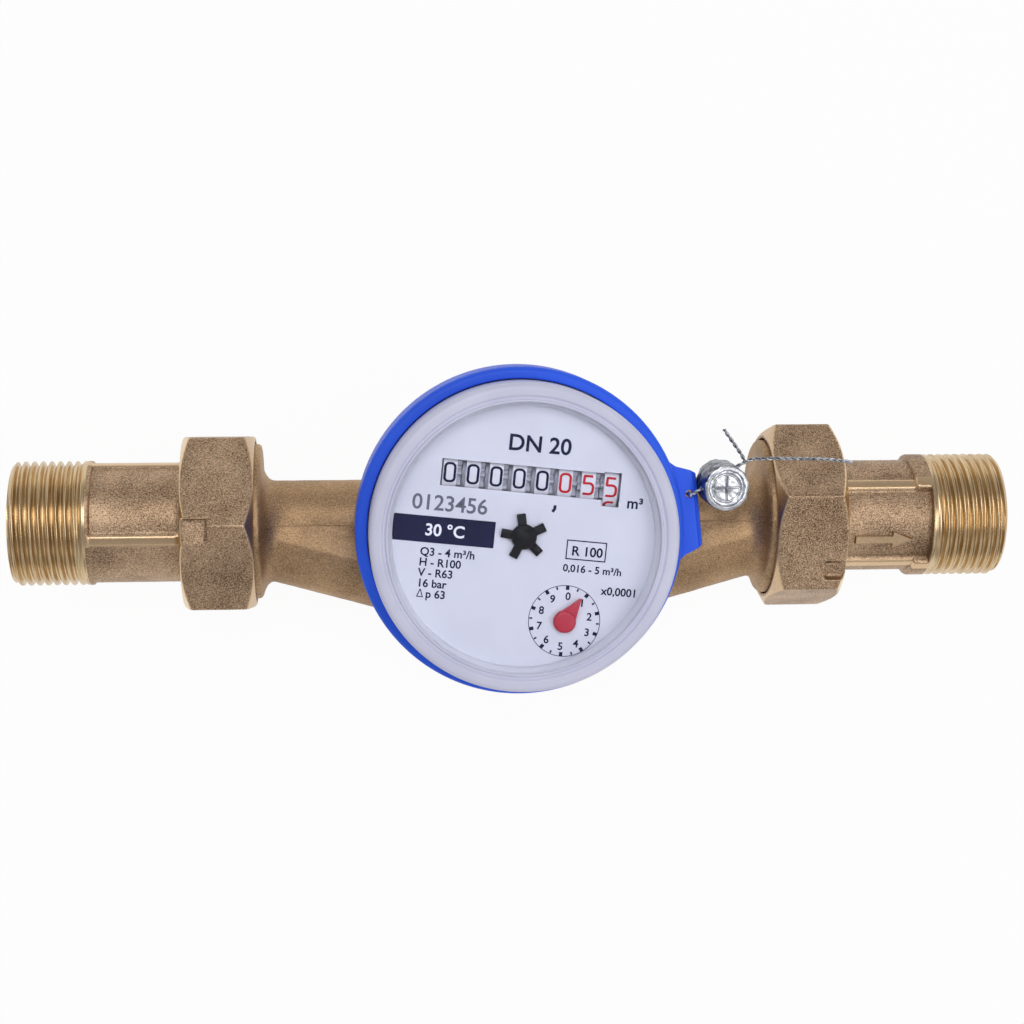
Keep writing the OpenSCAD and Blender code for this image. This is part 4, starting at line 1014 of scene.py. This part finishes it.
# Seal
def make_lead():
    """Lead plug squeezed by pliers: dull dented sides, and a bright face with a rim and a sunk cross."""
    radius, half = 4.9, 4.0
    rim_in, face_z = radius - 1.2, half - 0.5
    rings = [(0, -half), (radius - 0.6, -half), (radius, -half + 0.6)]
    rings += [(radius, z) for z in np.linspace(-half + 1.0, half - 0.6, 14)]
    rings += [(radius - 0.15, half - 0.15), (radius - 0.5, half), (radius - 0.9, half)]
    rings += [(rim_in, face_z + 0.05)]
    rings += [(r, face_z) for r in np.linspace(rim_in - 0.1, 0.0, 34)]
    lead = turned("lead_plug", rings, 160, crease=45)
    lead.data.materials.append(LEAD)
    lead.data.materials.append(LEAD_FACE)
    for polygon in lead.data.polygons:
        centre = polygon.center / MM
        polygon.material_index = int(centre.z > 0 and math.hypot(centre.x, centre.y) < radius - 0.25)
    groove, depth, reach = 0.3, 0.3, 2.9
    for vertex in lead.data.vertices:
        p = vertex.co / MM
        r = math.hypot(p.x, p.y)
        if p.z > 0 and r < rim_in:
            off = min(abs(p.x), abs(p.y), abs(r - reach)) if r < reach else r - reach
            p.z += 0.06 * noise.noise(p * 1.2) - depth * max(0.0, 1 - off / groove)
        elif r > 0.5:
            squeeze = abs(0.35 * noise.noise(p * 0.42) + 0.12 * noise.noise(p * 1.3))
            p.x -= p.x / r * squeeze
            p.y -= p.y / r * squeeze
        vertex.co = p * MM
    tilt = math.radians(5.5)
    lead.data.transform(Matrix.Translation(LEAD_AT * MM) @ Matrix.Rotation(tilt, 4, "Y")
                        @ Matrix.Rotation(tilt, 4, "X"))
    dress(lead, LEAD, "body", "lead", "lead_seal")


def smooth_path(points, per_span=14):
    """Points of a curve that runs through the given ones."""
    ends = [points[0] * 2 - points[1]] + points + [points[-1] * 2 - points[-2]]
    path = []
    for a, b, c, d in zip(ends, ends[1:], ends[2:], ends[3:]):
        for k in range(per_span):
            t = k / per_span
            path.append(0.5 * ((2 * b) + (c - a) * t + (2 * a - 5 * b + 4 * c - d) * t * t
                               + (3 * b - a - 3 * c + d) * t ** 3))
    return path + [points[-1]]


def make_wire():
    """The twisted wire: up through the lug's hole to its knot by the lead, with a long and a short end."""
    long_end = [WIRE_START - Vector((0, 0, 3.4)), WIRE_START + Vector((0, 0, 0.3)),
                WIRE_START + Vector((0.9, 0.4, 1.2)), KNOT_AT]
    past_knot = ((3.9, 0.9, 2.4), (10.4, 0.9, 3), (17, 0.6, 1.8), (22.4, -0.1, 0.8))
    long_end += [KNOT_AT + Vector(p) for p in past_knot]
    short_end = [KNOT_AT + Vector(p) for p in ((0, 0, 0), (-1, 1.8, 0.8), (-4.8, 7, 2))]
    verts, edges = [], []
    for points in (long_end, short_end):
        path = smooth_path(points)
        start = len(verts)
        verts += path
        edges += [(start + i, start + i + 1) for i in range(len(path) - 1)]
    mesh = bpy.data.meshes.new("seal_wire_path")
    mesh.from_pydata([tuple(v * MM) for v in verts], edges, [])
    wire = bpy.data.objects.new("seal_wire_twisted", mesh)
    bpy.context.collection.objects.link(wire)
    grown(wire, wire_tree(STEEL), {"Strand radius": STRAND_R * MM, "Lay radius": STRAND_R * MM,
                                   "Pitch": TWIST_PITCH * MM})
    smooth(wire.data, 80)
    dress(wire, STEEL, "body", "steel", "seal_wire")


# CAD nodes that keep their own shape
SLOT_MATERIAL = {
    "cast_brass": BRASS_FINE, "turned_brass": TURNED, "white_plastic": WHITE, "clear_plastic": CLEAR,
    "blue_plastic": BLUE, "black_plastic": BLACK, "red_plastic": RED, "black_rubber": RUBBER,
    "steel": STEEL, "ferrite": FERRITE, "lead": LEAD,
}


def dress_nodes():
    for row in frame["record"]["subparts"]:
        node = frame["nodes"][row["node"]]
        material = SLOT_MATERIAL[row["material_slot"]]
        # number wheels get the material with painted shade on their gear rings
        if row["node"].startswith("number_wheel"):
            material = WHEEL
        node.data.materials.clear()
        node.data.materials.append(material)


# Stage
def soft_box(name, place, aim, size, watts):
    lamp = bpy.data.lights.new(name, "AREA")
    lamp.shape = "RECTANGLE"
    lamp.size, lamp.size_y = size
    lamp.energy = watts
    holder = bpy.data.objects.new(name, lamp)
    holder.location = place
    holder.rotation_euler = (Vector(aim) - Vector(place)).to_track_quat("-Z", "Y").to_euler()
    bpy.context.collection.objects.link(holder)


def make_stage():
    corners = [(x * FLOOR, y * FLOOR, 0) for x, y in ((-1, -1), (1, -1), (1, 1), (-1, 1))]
    floor = piece_of("floor", corners, [(0, 1, 2, 3)])
    floor.data.transform(Matrix.Translation((0, 0, -0.02 * MM)))
    material, tree, shader, _ = surface("paper_white_backdrop", "#F4F4F4", Roughness=0.9)
    path = add(tree, "ShaderNodeLightPath").node
    seen = add(tree, "ShaderNodeMath", {0: path.outputs["Is Camera Ray"], 1: path.outputs["Is Glossy Ray"]},
               operation="MAXIMUM")
    seen = add(tree, "ShaderNodeMath", {0: seen, 1: path.outputs["Is Transmission Ray"]}, operation="MAXIMUM")
    share = add(tree, "ShaderNodeMath", {0: seen, 1: FLOOR_GLOW}, operation="MULTIPLY")
    glow = add(tree, "ShaderNodeEmission", {"Color": (1, 1, 1, 1), "Strength": 1.0})
    both = add(tree, "ShaderNodeMixShader", {0: share, 1: shader.outputs[0], 2: glow})
    output = next(n for n in tree.nodes if n.type == "OUTPUT_MATERIAL")
    tree.links.new(both, output.inputs["Surface"])
    floor.data.materials.append(material)

    world = bpy.data.worlds.new("studio")
    bpy.context.scene.world = world
    world.use_nodes = True
    tree = world.node_tree
    tree.nodes.clear()
    direction = add(tree, "ShaderNodeTexCoord", out="Generated")
    height = add(tree, "ShaderNodeSeparateXYZ", {0: direction}, out="Z")
    ramp = add(tree, "ShaderNodeValToRGB", {"Fac": height}).node
    ramp.color_ramp.elements[0].color = HORIZON
    ramp.color_ramp.elements[1].color = ZENITH
    sky = add(tree, "ShaderNodeBackground", {"Color": ramp.outputs[0], "Strength": 1.0})
    add(tree, "ShaderNodeOutputWorld", {"Surface": sky})

    for name, values in SOFT_BOXES.items():
        soft_box(name, *values)


def make_camera():
    camera = bpy.data.cameras.new("photo_camera")
    camera.lens = CAMERA_LENS
    camera.sensor_width = CAMERA_SENSOR
    holder = bpy.data.objects.new("photo_camera", camera)
    place = Matrix.Translation(Vector(CAMERA_AT) * MM)
    for axis, angle in CAMERA_TURN:
        place = place @ Matrix.Rotation(angle, 4, axis)
    holder.matrix_world = place
    bpy.context.collection.objects.link(holder)
    bpy.context.scene.camera = holder


make_camera()
make_stage()
dress_nodes()
make_parting_line(make_body())
THREAD = thread_tree(TURNED)
for end in (-1, 1):
    make_nut(end)
    make_tail(end, THREAD)
make_arrow()
make_cover()
make_bezel()
make_lock_ring()
for wheel in range(1, 9):
    make_digits(wheel)
make_dial_print()
make_type_bar()
make_ticks()
make_hands()
make_lead()
make_wire()

bpy.context.scene.view_settings.view_transform = "Standard"
